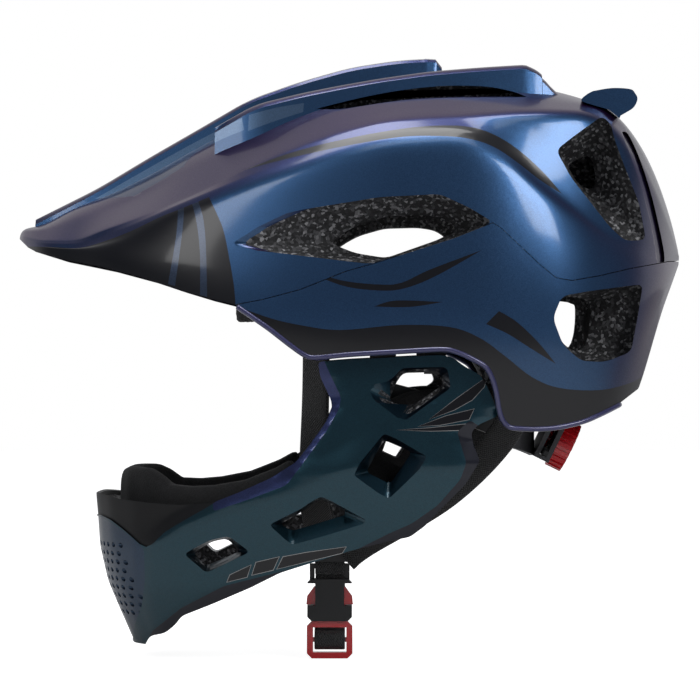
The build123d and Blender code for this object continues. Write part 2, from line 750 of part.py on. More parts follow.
def ribbon(path, width, thickness):
    """A flat strip through the places of a path, each with its own direction across."""
    rings = []
    last = len(path) - 1
    for i, (place, across) in enumerate(path):
        before, after = Vector(*path[max(i - 1, 0)][0]), Vector(*path[min(i + 1, last)][0])
        run = (after - before).normalized()
        across = Vector(*across)
        across = (across - run * across.dot(run)).normalized()
        normal = run.cross(across).normalized()
        at = Vector(*place)
        half, thin = across * (width / 2), normal * (thickness / 2)
        rings.append([at + half + thin, at - half + thin, at - half - thin, at + half - thin])
    return stacked(rings)


# Strap anchors: plastic plates on the foam, one above the end of each strap.
anchor_size = (17.0, 2.6, 9.0)
front_anchor_place = (-56.0, -58.5, -94.8)
rear_anchor_place = (42.5, -64.5, -118.5)
front_anchor_turn = -37.0
rear_anchor_turn = 24.0
anchor_corner = 1.5


def anchors():
    """The plates over the two strap ends of one side."""
    shapes = []
    for place, turn in ((front_anchor_place, front_anchor_turn), (rear_anchor_place, rear_anchor_turn)):
        box = chamfer(Box(*anchor_size).edges().filter_by(Axis.Y), anchor_corner)
        shapes.append(Pos(*place) * Rot(0, 0, turn) * box)
    return shapes


# Divider: the plate between the two straps of one side, above the buckle.
buckle_px = (330, 600)
buckle_x = side(buckle_px)[0]
buckle_y = -24.0
divider_size = (25.0, 7.5, 9.0)
divider_place = (-48.5, -24.0, -209.5)
divider_corner = 2.5


def divider():
    """The plate that gathers the front and rear strap of one side."""
    box = chamfer(Box(*divider_size).edges().filter_by(Axis.Y), divider_corner)
    return Pos(*divider_place) * box


# Buckle, drawn upright in its own plane below the guard.
socket_rows = (575, 616)
socket_half = 11.0
socket_thick = 9.0
socket_hollow = 5.0
socket_waist = 8.2
socket_corner = 2.0
socket_roof_rows = 5
window_rows = (579, 601)
window_inset = 3.9
loop_rows = (560, 575)
loop_bar = 2.4
loop_thick = 3.6
frame_rows = (616.6, 653)
frame_half = 11.2
frame_bar = 3.0
frame_thick = 5.0
frame_slot_rows = (622.5, 647)
frame_corner = 2.4
middle_bar_rows = (632.5, 637)
middle_bar_thick = 2.2
stem_half = 1.9
stem_top_row = 588
stem_play = 0.4
overlap_rows = 2


def upright_box(half, rows, thick, corner=0.0, x=None):
    """A box in the buckle's plane, given by its half width and its top and bottom rows."""
    top, low = row_z(rows[0]), row_z(rows[1])
    middle = buckle_x if x is None else x
    box = Pos(middle, buckle_y, (top + low) / 2) * Box(2 * half, thick, top - low)
    return chamfer(box.edges().filter_by(Axis.Y), corner) if corner else box


def buckle_socket():
    """Black female half: a flat box, open below, with a window on each side for the prongs."""
    body = upright_box(socket_half, socket_rows, socket_thick, socket_corner)
    hollow_rows = (socket_rows[0] + socket_roof_rows, socket_rows[1] + overlap_rows)
    body -= upright_box(socket_waist, hollow_rows, socket_hollow)
    for turn in (-1, 1):
        body -= upright_box(window_inset, window_rows, socket_thick * 2, 0, buckle_x + turn * socket_half)
    loop = upright_box(socket_half - loop_bar / 2, (loop_rows[0], loop_rows[1] + overlap_rows), loop_thick)
    slot = upright_box(socket_half - 1.5 * loop_bar, (loop_rows[0] + 2 * loop_bar, loop_rows[1]), socket_thick)
    return body + (loop - slot)


def buckle_plug():
    """Red male half: a frame with a middle bar for the webbing, and a stem up into the socket."""
    frame = upright_box(frame_half, frame_rows, frame_thick, frame_corner)
    frame -= upright_box(frame_half - frame_bar, frame_slot_rows, frame_thick * 2)
    frame += upright_box(frame_half - frame_bar / 2, middle_bar_rows, middle_bar_thick)
    stem = upright_box(stem_half, (stem_top_row, frame_rows[0] + overlap_rows), socket_hollow - 2 * stem_play)
    barrels = [prong_barrel(turn, prong_barrel_play) for turn in (-1, 1)]
    return (frame + stem) - barrels


# One prong: (distance from the buckle's middle line, row), round its outline.
prong_spots = (
    (3.5, 616), (5.9, 616), (6.1, 606), (7.5, 603), (7.6, 600), (11.5, 600), (11.1, 592), (7.6, 582.5),
    (5.6, 582.5), (3.7, 588), (3.6, 600),
)
prong_thick = 4.2
prong_pivot = (4.7, 615)
prong_barrel_radius = 1.6
prong_barrel_play = 0.06


def prong_barrel(turn, play=0.0):
    """The round root a prong turns on. With play it is the seat for it in the plug."""
    length = socket_thick if play else prong_thick
    place = Pos(buckle_x + turn * prong_pivot[0], buckle_y, row_z(prong_pivot[1]))
    return place * Rot(90, 0, 0) * Cylinder(prong_barrel_radius + play, length)


def prong(turn):
    """One sprung prong with its catch in the side window."""
    half = prong_thick / 2
    corners = [(buckle_x + turn * x, buckle_y - half, row_z(row)) for x, row in prong_spots]
    blade = extrude(Face(Wire.make_polygon(corners, close=True)), amount=prong_thick, dir=(0, 1, 0))
    return blade + prong_barrel(turn)


# Webbing at the buckle, as (y, row) in the buckle's own plane, and the run to the far side.
link_spots = (
    (-27.2, 558.6), (-27.5, 563), (-26.6, 567.5), (-24.0, 569.4), (-21.4, 567.5), (-20.5, 563), (-20.8, 558.6),
)
link_width = 14.4
chin_path = (
    (-50.0, 14.0, -237.0), (-50.0, 0.0, -247.8), (-50.0, -15.0, -255.2), (-50.0, -21.5, -256.9),
    (-50.0, -25.9, -255.3), (-50.0, -26.4, -252.4), (-50.0, -25.9, -249.5), (-50.0, -21.5, -248.0), (-50.0, -14.0, -246.4),
    (-50.0, 0.0, -240.0), (-50.0, 13.0, -230.0), (-50.0, 19.0, -221.0), (-50.5, 19.2, -214.6),
)
chin_webbing_width = 15.2


def webbing_link():
    """The short doubled loop that hangs the socket from the divider."""
    path = [((buckle_x, y, row_z(row)), (1, 0, 0)) for y, row in link_spots]
    return ribbon(path, link_width, webbing_thick)


def chin_webbing():
    """One strip: a tail, a turn round the plug's middle bar, and the run to the far divider."""
    path = [(place, (1, 0, 0)) for place in chin_path]
    return ribbon(path, chin_webbing_width, webbing_thick)


# Fit system at the nape. The dial's axis points back and down.
dial_centre = (66.5, 0.0, -157.5)
axis_tilt = 26.0
dial_radius = 12.6
dial_thick = 8.0
dial_knurls = 20
knurl_depth = 0.8
dial_shaft = 2.4
dial_gap = 0.4
housing_size = (8.0, 46.0, 22.4)
housing_wall = 1.6
rack_channel = (3.4, 18.4)
pinion_teeth = 10
pinion_pitch = 5.0
pinion_tip = 5.6
pinion_root = 4.3
pinion_thick = 2.6
rack_size = (2.2, 46.0, 2.4)
rack_shift = 12.0
rack_tooth_reach = 4.75
rack_tooth_half = 0.45
rack_root_half = 0.9
rack_teeth = 11
rack_teeth_behind = 3
rack_back = 6.25
rack_tooth_sink = 0.1


def on_axis(shape, back=0.0):
    """Puts a shape drawn along +X at the dial, turned onto the dial's axis."""
    return Pos(*dial_centre) * Rot(0, axis_tilt, 0) * Pos(back, 0, 0) * shape


def toothed_disc(radius_tip, radius_root, teeth, thick, tip_share, phase=0.0):
    """A flat disc about the X axis with plain straight-sided teeth."""
    spots = []
    for k in range(teeth):
        middle = 2 * math.pi * (k + phase) / teeth
        step = 2 * math.pi / teeth
        for radius, share in ((radius_root, -0.5 + tip_share / 2), (radius_tip, -tip_share / 2),
                              (radius_tip, tip_share / 2), (radius_root, 0.5 - tip_share / 2)):
            turn = middle + share * step
            spots.append((-thick / 2, radius * math.cos(turn), radius * math.sin(turn)))
    return extrude(Face(Wire.make_polygon(spots, close=True)), amount=thick, dir=(1, 0, 0))


pinion_tip_share = 0.22
knurl_tip_share = 0.5
dial_cap_radius = 8.4
dial_cap_depth = 1.0


def dial():
    """Knurled knob, its shaft and the pinion on the shaft's inner end."""
    knob = toothed_disc(dial_radius, dial_radius - knurl_depth, dial_knurls, dial_thick, knurl_tip_share)
    dish_floor = Plane((dial_thick / 2 - dial_cap_depth, 0, 0), z_dir=(1, 0, 0))
    mouth = dish_floor * RegularPolygon(dial_cap_radius, dial_knurls)
    dish = extrude(mouth, amount=dial_cap_depth * 2)
    knob -= dish
    reach = dial_thick / 2 + dial_gap + housing_size[0] / 2 + pinion_thick / 2
    shaft = Pos(-reach / 2, 0, 0) * Rot(0, 90, 0) * Cylinder(dial_shaft, reach)
    pinion = toothed_disc(pinion_tip, pinion_root, pinion_teeth, pinion_thick, pinion_tip_share)
    back = -(dial_thick / 2 + dial_gap + housing_size[0] / 2)
    return on_axis(knob + shaft + Pos(back, 0, 0) * pinion)


housing_back = -(dial_thick / 2 + dial_gap + housing_size[0] / 2)


def rack(turn):
    """One toothed rack above (+1) or below (-1) the pinion, reaching out to one side."""
    pitch = 2 * math.pi * pinion_pitch / pinion_teeth
    body = Pos(0, turn * rack_shift, turn * (rack_back + rack_size[2] / 2)) * Box(*rack_size)
    root = turn * (rack_back + rack_tooth_sink)
    tip = turn * rack_tooth_reach
    half = rack_size[0] / 2
    for k in range(-rack_teeth_behind, rack_teeth - rack_teeth_behind):
        y = turn * k * pitch
        spots = [(-half, y - rack_root_half, root), (-half, y - rack_tooth_half, tip),
                 (-half, y + rack_tooth_half, tip), (-half, y + rack_root_half, root)]
        body += extrude(Face(Wire.make_polygon(spots, close=True)), amount=rack_size[0], dir=(1, 0, 0))
    return on_axis(body, housing_back)


# Cradle: a curved plate round the nape with the gear housing in its middle.
cradle_path = ((40.0, 33.0, -150.5), (48.0, 26.0, -151.5), (54.0, 14.0, -153.0), (56.0, 0.0, -153.6))
cradle_thick = 2.6
cradle_heights = (12.0, 15.0, 17.0, 18.0)
cradle_front_shift = -5.2
shaft_play = 0.05


def curved_strip(spots, heights, thick):
    """An upright strip through places in the level plane, given its height at each."""
    rings = []
    last = len(spots) - 1
    for i, ((x, y, z), height) in enumerate(zip(spots, heights)):
        before, after = spots[max(i - 1, 0)], spots[min(i + 1, last)]
        run = Vector(after[0] - before[0], after[1] - before[1], 0).normalized()
        normal = Vector(-run.Y, run.X, 0)
        up = Vector(0, 0, height / 2)
        at = Vector(x, y, z)
        thin = normal * (thick / 2)
        rings.append([at + up + thin, at - up + thin, at - up - thin, at + up - thin])
    return stacked(rings)


def cradle():
    """The nape plate with the gear housing moulded on its back."""
    half = [(x + cradle_front_shift, y, z) for x, y, z in cradle_path]
    spots = [(x, -y, z) for x, y, z in half] + list(reversed(half[:-1]))
    heights = list(cradle_heights) + list(reversed(cradle_heights[:-1]))
    plate = curved_strip(spots, heights, cradle_thick)
    box = Box(*housing_size)
    box -= Box(rack_channel[0], housing_size[1] * 2, rack_channel[1])
    bore = Cylinder(dial_shaft + shaft_play, housing_size[0])
    box -= Pos(housing_size[0] / 2, 0, 0) * Rot(0, 90, 0) * bore
    housing = on_axis(box, housing_back)
    room = on_axis(Box(housing_size[0] - 2 * housing_wall, housing_size[1] * 2, rack_channel[1]), housing_back)
    return housing + (plate - room)


# Bands from the cradle to the pivot at each temple.
band_path = (
    (38.0, -37.0, -149.5), (30.0, -47.0, -146.5), (14.0, -56.0, -141.0), (-8.0, -59.5, -134.0),
    (-28.0, -59.5, -129.0), (-42.0, -59.5, -126.0),
)
band_heights = (11.0, 10.0, 9.0, 8.5, 9.0, 11.0)
band_thick = 1.6
pivot_place = (-42.0, -59.5, -126.0)
pivot_radius = 2.5
pivot_play = 0.08
pivot_head_radius = 5.0
pivot_head_thick = 1.4
boss_size = 13.0
boss_back_y = 66.2
eye_radius = 5.6
disc_sides = 16


def along_y(radius, y_from, y_to):
    """A round pin about the pivot's axis."""
    x, _, z = pivot_place
    return Pos(x, (y_from + y_to) / 2, z) * Rot(90, 0, 0) * Cylinder(radius, abs(y_to - y_from))


def many_sided(radius, y_from, y_to):
    """A flat disc with plain sides about the pivot's axis."""
    x, _, z = pivot_place
    face = Plane((x, y_from, z), z_dir=(0, 1, 0)) * RegularPolygon(radius, disc_sides)
    return extrude(face, amount=y_to - y_from)


def band():
    """The flexible band of one side, with its eye at the temple."""
    strip = curved_strip(band_path, band_heights, band_thick)
    y = pivot_place[1]
    eye = many_sided(eye_radius, y - band_thick / 2, y + band_thick / 2)
    hole = along_y(pivot_radius + pivot_play, y - band_thick * 4, y + band_thick * 4)
    return strip + eye - hole


def temple_pivot():
    """Boss on the foam with the pin the band turns on, and the pin's head."""
    x, y, z = pivot_place
    face = y - band_thick / 2 - pivot_play
    boss = Pos(x, (face - boss_back_y) / 2, z) * Box(boss_size, face + boss_back_y, boss_size)
    pin = along_y(pivot_radius, face, y + band_thick / 2 + pivot_play)
    head_from = y + band_thick / 2 + pivot_play
    return boss + pin + many_sided(pivot_head_radius, head_from, head_from + pivot_head_thick)


# Comfort pads in the head cavity. Each is a strip along the wall, crowned on the head's side.
pad_gap = 1.0
pad_depth = 6.5
pad_stations = 7
pad_end_share = 0.6
pad_fullness_share = 6.4
# Cross-section of a pad: (share of its half height, share of its depth).
pad_profile_shares = (
    (-0.86, 0.0), (-1.0, 0.3), (-0.8, 0.75), (-0.35, 1.0), (0.35, 1.0), (0.8, 0.75), (1.0, 0.3), (0.86, 0.0),
)


def pad_sizes(k):
    """How full the pad is at a station: less at its two ends."""
    t = k / (pad_stations - 1)
    return pad_end_share + (1 - pad_end_share) * min(1.0, pad_fullness_share * t * (1 - t))


def wall_pad(z, from_turn, to_turn, height):
    """A pad on the upright wall between two angles, measured from the rear."""
    rings = []
    for k in range(pad_stations):
        turn = math.radians(from_turn + (to_turn - from_turn) * k / (pad_stations - 1))
        full = pad_sizes(k)
        spots = []
        for up, deep in pad_profile_shares:
            inset = pad_gap + deep * pad_depth * full
            x = (cavity_length / 2 - inset) * math.cos(turn)
            y = (cavity_width / 2 - inset) * math.sin(turn)
            spots.append((x, y, z + up * full * height / 2))
        rings.append(spots)
    return stacked(rings)


crown_pad_turns = (-36.0, 36.0)
crown_pad_width = 36.0
crown_pad_drop = 2.6


def crown_pad():
    """A pad along the middle of the cavity's roof."""
    rings = []
    for k in range(pad_stations):
        along_share = k / (pad_stations - 1)
        turn = math.radians(crown_pad_turns[0] + (crown_pad_turns[1] - crown_pad_turns[0]) * along_share)
        full = pad_sizes(k)
        spots = []
        for across, deep in pad_profile_shares:
            inset = pad_gap + crown_pad_drop * across**2 + deep * pad_depth * full
            x = (cavity_length / 2 - inset) * math.sin(turn)
            z = (cavity_rise - inset) * math.cos(turn) - cavity_rise
            spots.append((x, across * full * crown_pad_width / 2, z))
        rings.append(spots)
    return stacked(rings)


brow_pad_place = (-86.0, 145.0, 215.0, 20.0)
nape_pad_place = (-98.0, -32.0, 32.0, 24.0)
side_pad_place = (-88.0, -62.0, -112.0, 24.0)
# Places of the wall pads: (height of the middle, angles from the rear at both ends, height of the pad).
brow_pad_place = (-86.0, 145.0, 215.0, 20.0)
nape_pad_place = (-98.0, -32.0, 32.0, 24.0)
side_pad_place = (-88.0, -62.0, -112.0, 24.0)


def both(name, shape):
    """One node for each side of the helmet."""
    return {name + "_left": shape, name + "_right": mirrored(shape)}


def group(shapes):
    return Compound(children=list(shapes))


def shell_parts():
    upper, lower, foam = shells_and_liner()
    return {"upper_shell": upper, "lower_shell": lower, "eps_liner": foam, **both("rim_bead", rim_bead())}


def guard_parts():
    guard, lip, grille, guard_foam = chin_guard()
    bow_pad, cheek_left, cheek_right = guard_pads()
    return {
        "guard_shell": guard, "guard_lip": lip, "guard_grille": grille, "guard_foam": guard_foam,
        "guard_bow_pad": bow_pad, "cheek_pad_left": cheek_left, "cheek_pad_right": cheek_right,
        "guard_tongues": group(guard_tongues()), "guard_sockets": group(guard_sockets()),
    }


def harness_parts():
    plates = anchors()
    return {
        **both("front_strap", ribbon(front_strap_path, webbing_width, webbing_thick)),
        **both("rear_strap", ribbon(rear_strap_path, webbing_width, webbing_thick)),
        **both("divider", divider()),
        "strap_anchors": group(plates + [mirrored(s) for s in plates]),
        "buckle_socket": buckle_socket(), "buckle_plug": buckle_plug(),
        "prong_front": prong(-1), "prong_rear": prong(1),
        "webbing_link": webbing_link(), "chin_webbing": chin_webbing(),
    }


def fit_parts():
    return {
        "dial": dial(), "cradle": cradle(), "rack_left": rack(-1), "rack_right": rack(1),
        **both("band", band()), **both("temple_pivot", temple_pivot()),
        **both("side_pad", wall_pad(*side_pad_place)), "crown_pad": crown_pad(),
        "brow_pad": wall_pad(*brow_pad_place), "nape_pad": wall_pad(*nape_pad_place),
    }


for make_parts in (shell_parts, guard_parts, harness_parts, fit_parts):
    for name, shape in make_parts().items():
        print(name, len(shape.solids()))
        save(name, shape)
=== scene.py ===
import bpy, bmesh, math, random
import numpy as np
from mathutils import Vector, Matrix
from mathutils.bvhtree import BVHTree


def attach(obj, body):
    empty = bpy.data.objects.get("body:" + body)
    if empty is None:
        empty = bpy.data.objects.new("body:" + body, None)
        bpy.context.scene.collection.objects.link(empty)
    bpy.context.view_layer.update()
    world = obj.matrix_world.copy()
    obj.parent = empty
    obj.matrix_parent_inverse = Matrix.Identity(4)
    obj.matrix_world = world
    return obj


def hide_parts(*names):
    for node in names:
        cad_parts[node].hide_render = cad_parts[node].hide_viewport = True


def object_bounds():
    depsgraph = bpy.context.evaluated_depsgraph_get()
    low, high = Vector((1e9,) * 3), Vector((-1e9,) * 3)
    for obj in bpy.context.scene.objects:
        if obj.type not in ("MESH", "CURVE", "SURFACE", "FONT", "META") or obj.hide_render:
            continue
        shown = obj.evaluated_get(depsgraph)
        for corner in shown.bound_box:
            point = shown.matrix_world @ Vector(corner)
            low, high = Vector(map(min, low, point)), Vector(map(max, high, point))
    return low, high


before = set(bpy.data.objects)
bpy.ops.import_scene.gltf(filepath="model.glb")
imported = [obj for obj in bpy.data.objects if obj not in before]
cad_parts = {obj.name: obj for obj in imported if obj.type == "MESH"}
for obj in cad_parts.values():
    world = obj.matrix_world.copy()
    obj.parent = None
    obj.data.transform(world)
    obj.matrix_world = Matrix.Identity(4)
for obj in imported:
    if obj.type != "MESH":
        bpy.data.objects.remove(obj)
cad_lo, cad_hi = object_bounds()
random.seed(7)


# Finishes: each surface of the helmet is a material built up from nodes.
class Nodes:
    """A node tree in the making."""

    def __init__(self, tree):
        self.tree = tree

    def node(self, kind, inputs=(), **settings):
        """A node with its settings. Each input is another node's socket or a value."""
        made = self.tree.nodes.new(kind)
        for key, value in settings.items():
            setattr(made, key, value)
        for socket, source in dict(inputs).items():
            if isinstance(source, bpy.types.NodeSocket):
                self.tree.links.new(source, made.inputs[socket])
            else:
                made.inputs[socket].default_value = source
        return made

    def math(self, operation, a, b=0.0, c=0.0):
        return self.node("ShaderNodeMath", {0: a, 1: b, 2: c}, operation=operation).outputs[0]


class Finish(Nodes):
    """A material in the making, on its own shader."""

    def __init__(self, name, color, rough=0.5, metal=0.0, coat=0.0, coat_rough=0.05, specular=0.5, sheen=0.0):
        self.mat = bpy.data.materials.new(name)
        self.mat.use_nodes = True
        super().__init__(self.mat.node_tree)
        self.shader = self.tree.nodes["Principled BSDF"]
        values = {"Base Color": (*color, 1), "Roughness": rough, "Metallic": metal, "Coat Weight": coat,
                  "Coat Roughness": coat_rough, "Specular IOR Level": specular, "Sheen Weight": sheen}
        for socket, value in values.items():
            self.shader.inputs[socket].default_value = value

    def vector(self, operation, inputs):
        return self.node("ShaderNodeVectorMath", inputs, operation=operation).outputs[0]

    def place(self):
        return self.node("ShaderNodeTexCoord").outputs["Object"]

    def to(self, socket, source):
        self.tree.links.new(source, self.shader.inputs[socket])

    def bump(self, height, strength, distance):
        self.to("Normal", self.node("ShaderNodeBump", {"Height": height, "Strength": strength,
                                                       "Distance": distance}).outputs[0])

    def ramp(self, value, stops, mode="LINEAR"):
        made = self.node("ShaderNodeValToRGB", {0: value})
        made.color_ramp.interpolation = mode
        marks = made.color_ramp.elements
        while len(marks) < len(stops):
            marks.new(0.5)
        for mark, (place, color) in zip(marks, stops):
            mark.position, mark.color = place, (*color, 1)
        return made.outputs[0]


# Lacquer of the shells and the guard: a metallic coat with fine flakes in it, and a clear coat over it. Its hue is
# painted reflection: lighter blue on upright panels, dark violet on flat ones and teal on the lowest panels, fixed as
# the colour shift shows from the side. It is sprayed on the moulded skins.
def lacquer(name, flat, leaning, upright, teal, rough=0.33):
    """Colour-shift lacquer, from its hues on panels that lie flat, lean and stand upright, and low down; these hues are
    painted reflection.
    """
    flakes_per_metre, dullest, brightest, flake_tilt = 3400.0, 0.86, 1.16, 0.055
    teal_bottom, teal_top, teal_share, up_share = -0.235, -0.10, 0.75, 0.10
    paint = Finish(name, leaning, rough, metal=0.9, coat=0.55, coat_rough=0.10)
    normal = paint.node("ShaderNodeNewGeometry").outputs["Normal"]
    place = paint.place()
    faces = paint.node("ShaderNodeSeparateXYZ", {0: normal})
    height = paint.node("ShaderNodeSeparateXYZ", {0: place}).outputs[2]
    upwards = paint.math("MULTIPLY", paint.math("ABSOLUTE", faces.outputs[2]), up_share)
    sideways = paint.math("SUBTRACT", paint.math("ABSOLUTE", faces.outputs[1]), upwards)
    # Painted reflection: the hue follows how a panel faces, lighter blue upright and dark violet flat.
    painted_shift_hue = paint.ramp(sideways, ((0.30, flat), (0.62, leaning), (0.86, upright), (1.0, upright)), "EASE")
    # Painted reflection too: the drift to teal on the lowest panels.
    low = paint.node("ShaderNodeMapRange", {0: height, 1: teal_bottom, 2: teal_top, 3: teal_share, 4: 0.0})
    mixed = paint.node("ShaderNodeMix", {0: low.outputs[0], 6: painted_shift_hue, 7: (*teal, 1)}, data_type="RGBA")
    flakes = paint.node("ShaderNodeTexVoronoi", {"Vector": place, "Scale": flakes_per_metre}).outputs["Color"]
    sparkle = paint.node("ShaderNodeMapRange", {0: paint.node("ShaderNodeSeparateColor", {0: flakes}).outputs[0],
                                                1: 0.0, 2: 1.0, 3: dullest, 4: brightest})
    paint.to("Base Color", paint.vector("SCALE", {0: mixed.outputs[2], "Scale": sparkle.outputs[0]}))
    lean = paint.vector("SCALE", {0: paint.vector("SUBTRACT", {0: flakes, 1: (0.5, 0.5, 0.5)}), "Scale": flake_tilt})
    paint.to("Normal", paint.vector("NORMALIZE", {0: paint.vector("ADD", {0: normal, 1: lean})}))
    return paint.mat


shell_paint = lacquer("shell_paint", (0.034, 0.010, 0.064), (0.020, 0.026, 0.085), (0.026, 0.072, 0.165),
                      (0.010, 0.036, 0.060))
# A lighter blue lacquer: painted highlight for the lit side faces of the ribs at the peak.
lit_face_blue = lacquer("painted_highlight_blue", (0.045, 0.055, 0.115), (0.055, 0.085, 0.16), (0.08, 0.14, 0.24), (0.05, 0.09, 0.14))
violet = lacquer("bevel_violet", (0.024, 0.012, 0.052), (0.030, 0.022, 0.09), (0.03, 0.04, 0.13), (0.02, 0.035, 0.09))
stripe_grey = lacquer("stripe_grey", (0.03, 0.04, 0.065), (0.03, 0.042, 0.07), (0.035, 0.05, 0.085),
                      (0.03, 0.045, 0.07))
gloss_black = Finish("gloss_black", (0.003, 0.003, 0.005), 0.3, coat=0.35, coat_rough=0.09, specular=0.3).mat
black_inside = Finish("shell_inside", (0.02, 0.02, 0.022), 0.6).mat


# Bead foam of the liner and of the guard: expanded polystyrene, moulded in one with the shells. Most of its beads
# are black and some are grey, and each stands a little proud of the joints round it.
BEADS_PER_METRE, BEAD_PROUD = 760.0, 0.0008
foam_finish = Finish("bead_foam", (0.035, 0.035, 0.038), 0.75)
beads = {"Vector": foam_finish.place(), "Scale": BEADS_PER_METRE}
bead_edge = foam_finish.node("ShaderNodeTexVoronoi", beads, feature="DISTANCE_TO_EDGE").outputs["Distance"]
bead_shade = foam_finish.node("ShaderNodeSeparateColor",
                              {0: foam_finish.node("ShaderNodeTexVoronoi", beads).outputs["Color"]}).outputs[0]
foam_finish.to("Base Color", foam_finish.ramp(bead_shade, (
    (0.0, (0.010, 0.010, 0.011)), (0.5, (0.022, 0.022, 0.024)), (0.8, (0.08, 0.08, 0.085)), (1.0, (0.30, 0.30, 0.31)))))
foam_finish.bump(bead_edge, 0.5, BEAD_PROUD)
bead_foam = foam_finish.mat


# Form of the helmet shell: a polycarbonate skin moulded round the foam in one with the peak. Its feature lines run
# from the peak's tip to the nape, each as (column, row) of the photograph and a share of the half width.
PX, MIDDLE, CAMERA_FAR = 0.0005, 350, 1.5
EYE = Vector((-0.04, -CAMERA_FAR, -0.11))
HALF_WIDTH, SIDE_REACH = 0.102, 0.13
CREST = ((20, 237, 0), (22, 231.5, 0), (27, 228.5, 0), (40, 226, 0), (75, 208, 0), (110, 194, 0), (150, 174, 0),
    (200, 146, 0), (250, 121, 0), (300, 103, 0), (350, 92, 0), (400, 86, 0), (450, 84, 0), (500, 85, 0),
    (545, 91, 0), (580, 101, 0), (605, 112, 0), (622, 126, 0), (640, 150, 0), (652, 173, 0), (663, 200, 0),
    (671, 224, 0), (678, 252, 0))
EDGE = ((20, 237.2, 0.015), (22, 233, 0.05), (27, 231, 0.09), (40, 230, 0.18), (75, 219, 0.25), (110, 209, 0.30),
    (150, 192, 0.34), (183, 174, 0.38), (222, 155, 0.43), (260, 138, 0.46), (300, 122, 0.50), (345, 109, 0.54),
    (400, 101, 0.56), (450, 98, 0.57), (500, 98, 0.57), (545, 100, 0.565), (580, 103, 0.55), (605, 108, 0.53),
    (622, 122, 0.50), (640, 148, 0.44), (652, 172, 0.37), (663, 200, 0.27), (671, 226, 0.16), (678, 253, 0.05))
FLANK = ((20, 237.6, 0.02), (22, 236, 0.08), (27, 237, 0.15), (40, 240, 0.27), (75, 240, 0.40), (100, 231, 0.48),
    (150, 213, 0.57), (200, 192, 0.63), (250, 167, 0.68), (300, 146, 0.72), (345, 131, 0.75), (400, 119, 0.77),
    (470, 115, 0.78), (540, 112, 0.765), (580, 113, 0.73), (605, 121, 0.69), (622, 137, 0.65), (640, 162, 0.58),
    (652, 184, 0.49), (663, 210, 0.37), (671, 232, 0.23), (678, 254, 0.07))
RIDGE = ((20, 238, 0.022), (22, 238, 0.09), (27, 240, 0.16), (40, 243, 0.285), (75, 244, 0.42), (120, 230, 0.55),
    (180, 204, 0.655), (240, 180, 0.725), (300, 158, 0.775), (350, 142, 0.81), (400, 132, 0.84), (455, 130, 0.86),
    (500, 147, 0.87), (540, 180, 0.86), (580, 211, 0.82), (605, 230, 0.77), (622, 238, 0.72), (640, 244, 0.64),
    (652, 248, 0.55), (663, 251, 0.42), (671, 253, 0.27), (678, 255, 0.085))
FOOT = ((20, 238.3, 0.024), (22, 239.5, 0.094), (27, 242.5, 0.165), (40, 246, 0.295), (75, 249, 0.435),
    (120, 238, 0.58), (180, 213, 0.695), (240, 191, 0.765), (300, 169, 0.82), (350, 154, 0.855), (400, 145, 0.885),
    (455, 144, 0.90), (500, 162, 0.91), (540, 192, 0.90), (580, 221, 0.85), (605, 239, 0.79), (622, 247, 0.735),
    (640, 252, 0.655), (652, 255, 0.56), (663, 256, 0.43), (671, 257, 0.275), (678, 257, 0.09))
WIDE = ((20, 238.8, 0.026), (22, 241.5, 0.096), (27, 246, 0.17), (40, 251, 0.30), (75, 256, 0.45), (120, 262, 0.63),
    (200, 272, 0.79), (300, 290, 0.92), (400, 300, 0.985), (480, 306, 1.0), (550, 312, 0.965), (580, 314, 0.92),
    (605, 313, 0.85), (622, 308, 0.785), (640, 300, 0.685), (652, 292, 0.58), (663, 281, 0.44), (671, 272, 0.285),
    (678, 260, 0.09))
LOW = ((20, 239.4, 0.022), (22, 245, 0.09), (27, 252, 0.16), (40, 262, 0.29), (75, 285, 0.44), (140, 310, 0.66),
    (240, 345, 0.84), (310, 380, 0.90), (400, 410, 0.93), (500, 430, 0.93), (560, 430, 0.89), (590, 420, 0.84),
    (610, 405, 0.78), (625, 385, 0.71), (640, 358, 0.60), (652, 328, 0.48), (663, 300, 0.35), (671, 282, 0.22),
    (678, 263, 0.07))
UNDER = ((20, 240, 0.02), (22, 249, 0.08), (27, 260, 0.145), (40, 275, 0.27), (75, 320, 0.42), (140, 420, 0.64),
    (240, 490, 0.82), (310, 500, 0.88), (400, 505, 0.91), (500, 500, 0.91), (560, 480, 0.87), (590, 462, 0.82),
    (610, 445, 0.74), (625, 420, 0.66), (640, 385, 0.54), (652, 345, 0.42), (663, 308, 0.30), (671, 286, 0.18),
    (678, 266, 0.055))
# How each feature line moves, in y and z, when the form is drawn in by one unit.
FEATURE_LINES = ((CREST, 0, -1), (EDGE, -0.4, -0.9), (FLANK, -0.8, -0.7), (RIDGE, -1, -0.4), (FOOT, -1, 0.1),
                 (WIDE, -1, 0), (LOW, -1, 0), (UNDER, -1, 0))
STATIONS, TIP_COL, LENGTH_COLS, MIDDLE_COL, HALF_LENGTH = 200, 20.2, 657.3, 380, 0.164


def at(col, row, y=0.0):
    """The place that a photograph pixel shows at a distance y from the middle plane, on the near side."""
    near = 1 - abs(y) / CAMERA_FAR
    return Vector((EYE.x + (col - MIDDLE) * PX * near, -abs(y), EYE.z - (row - MIDDLE) * PX * near))


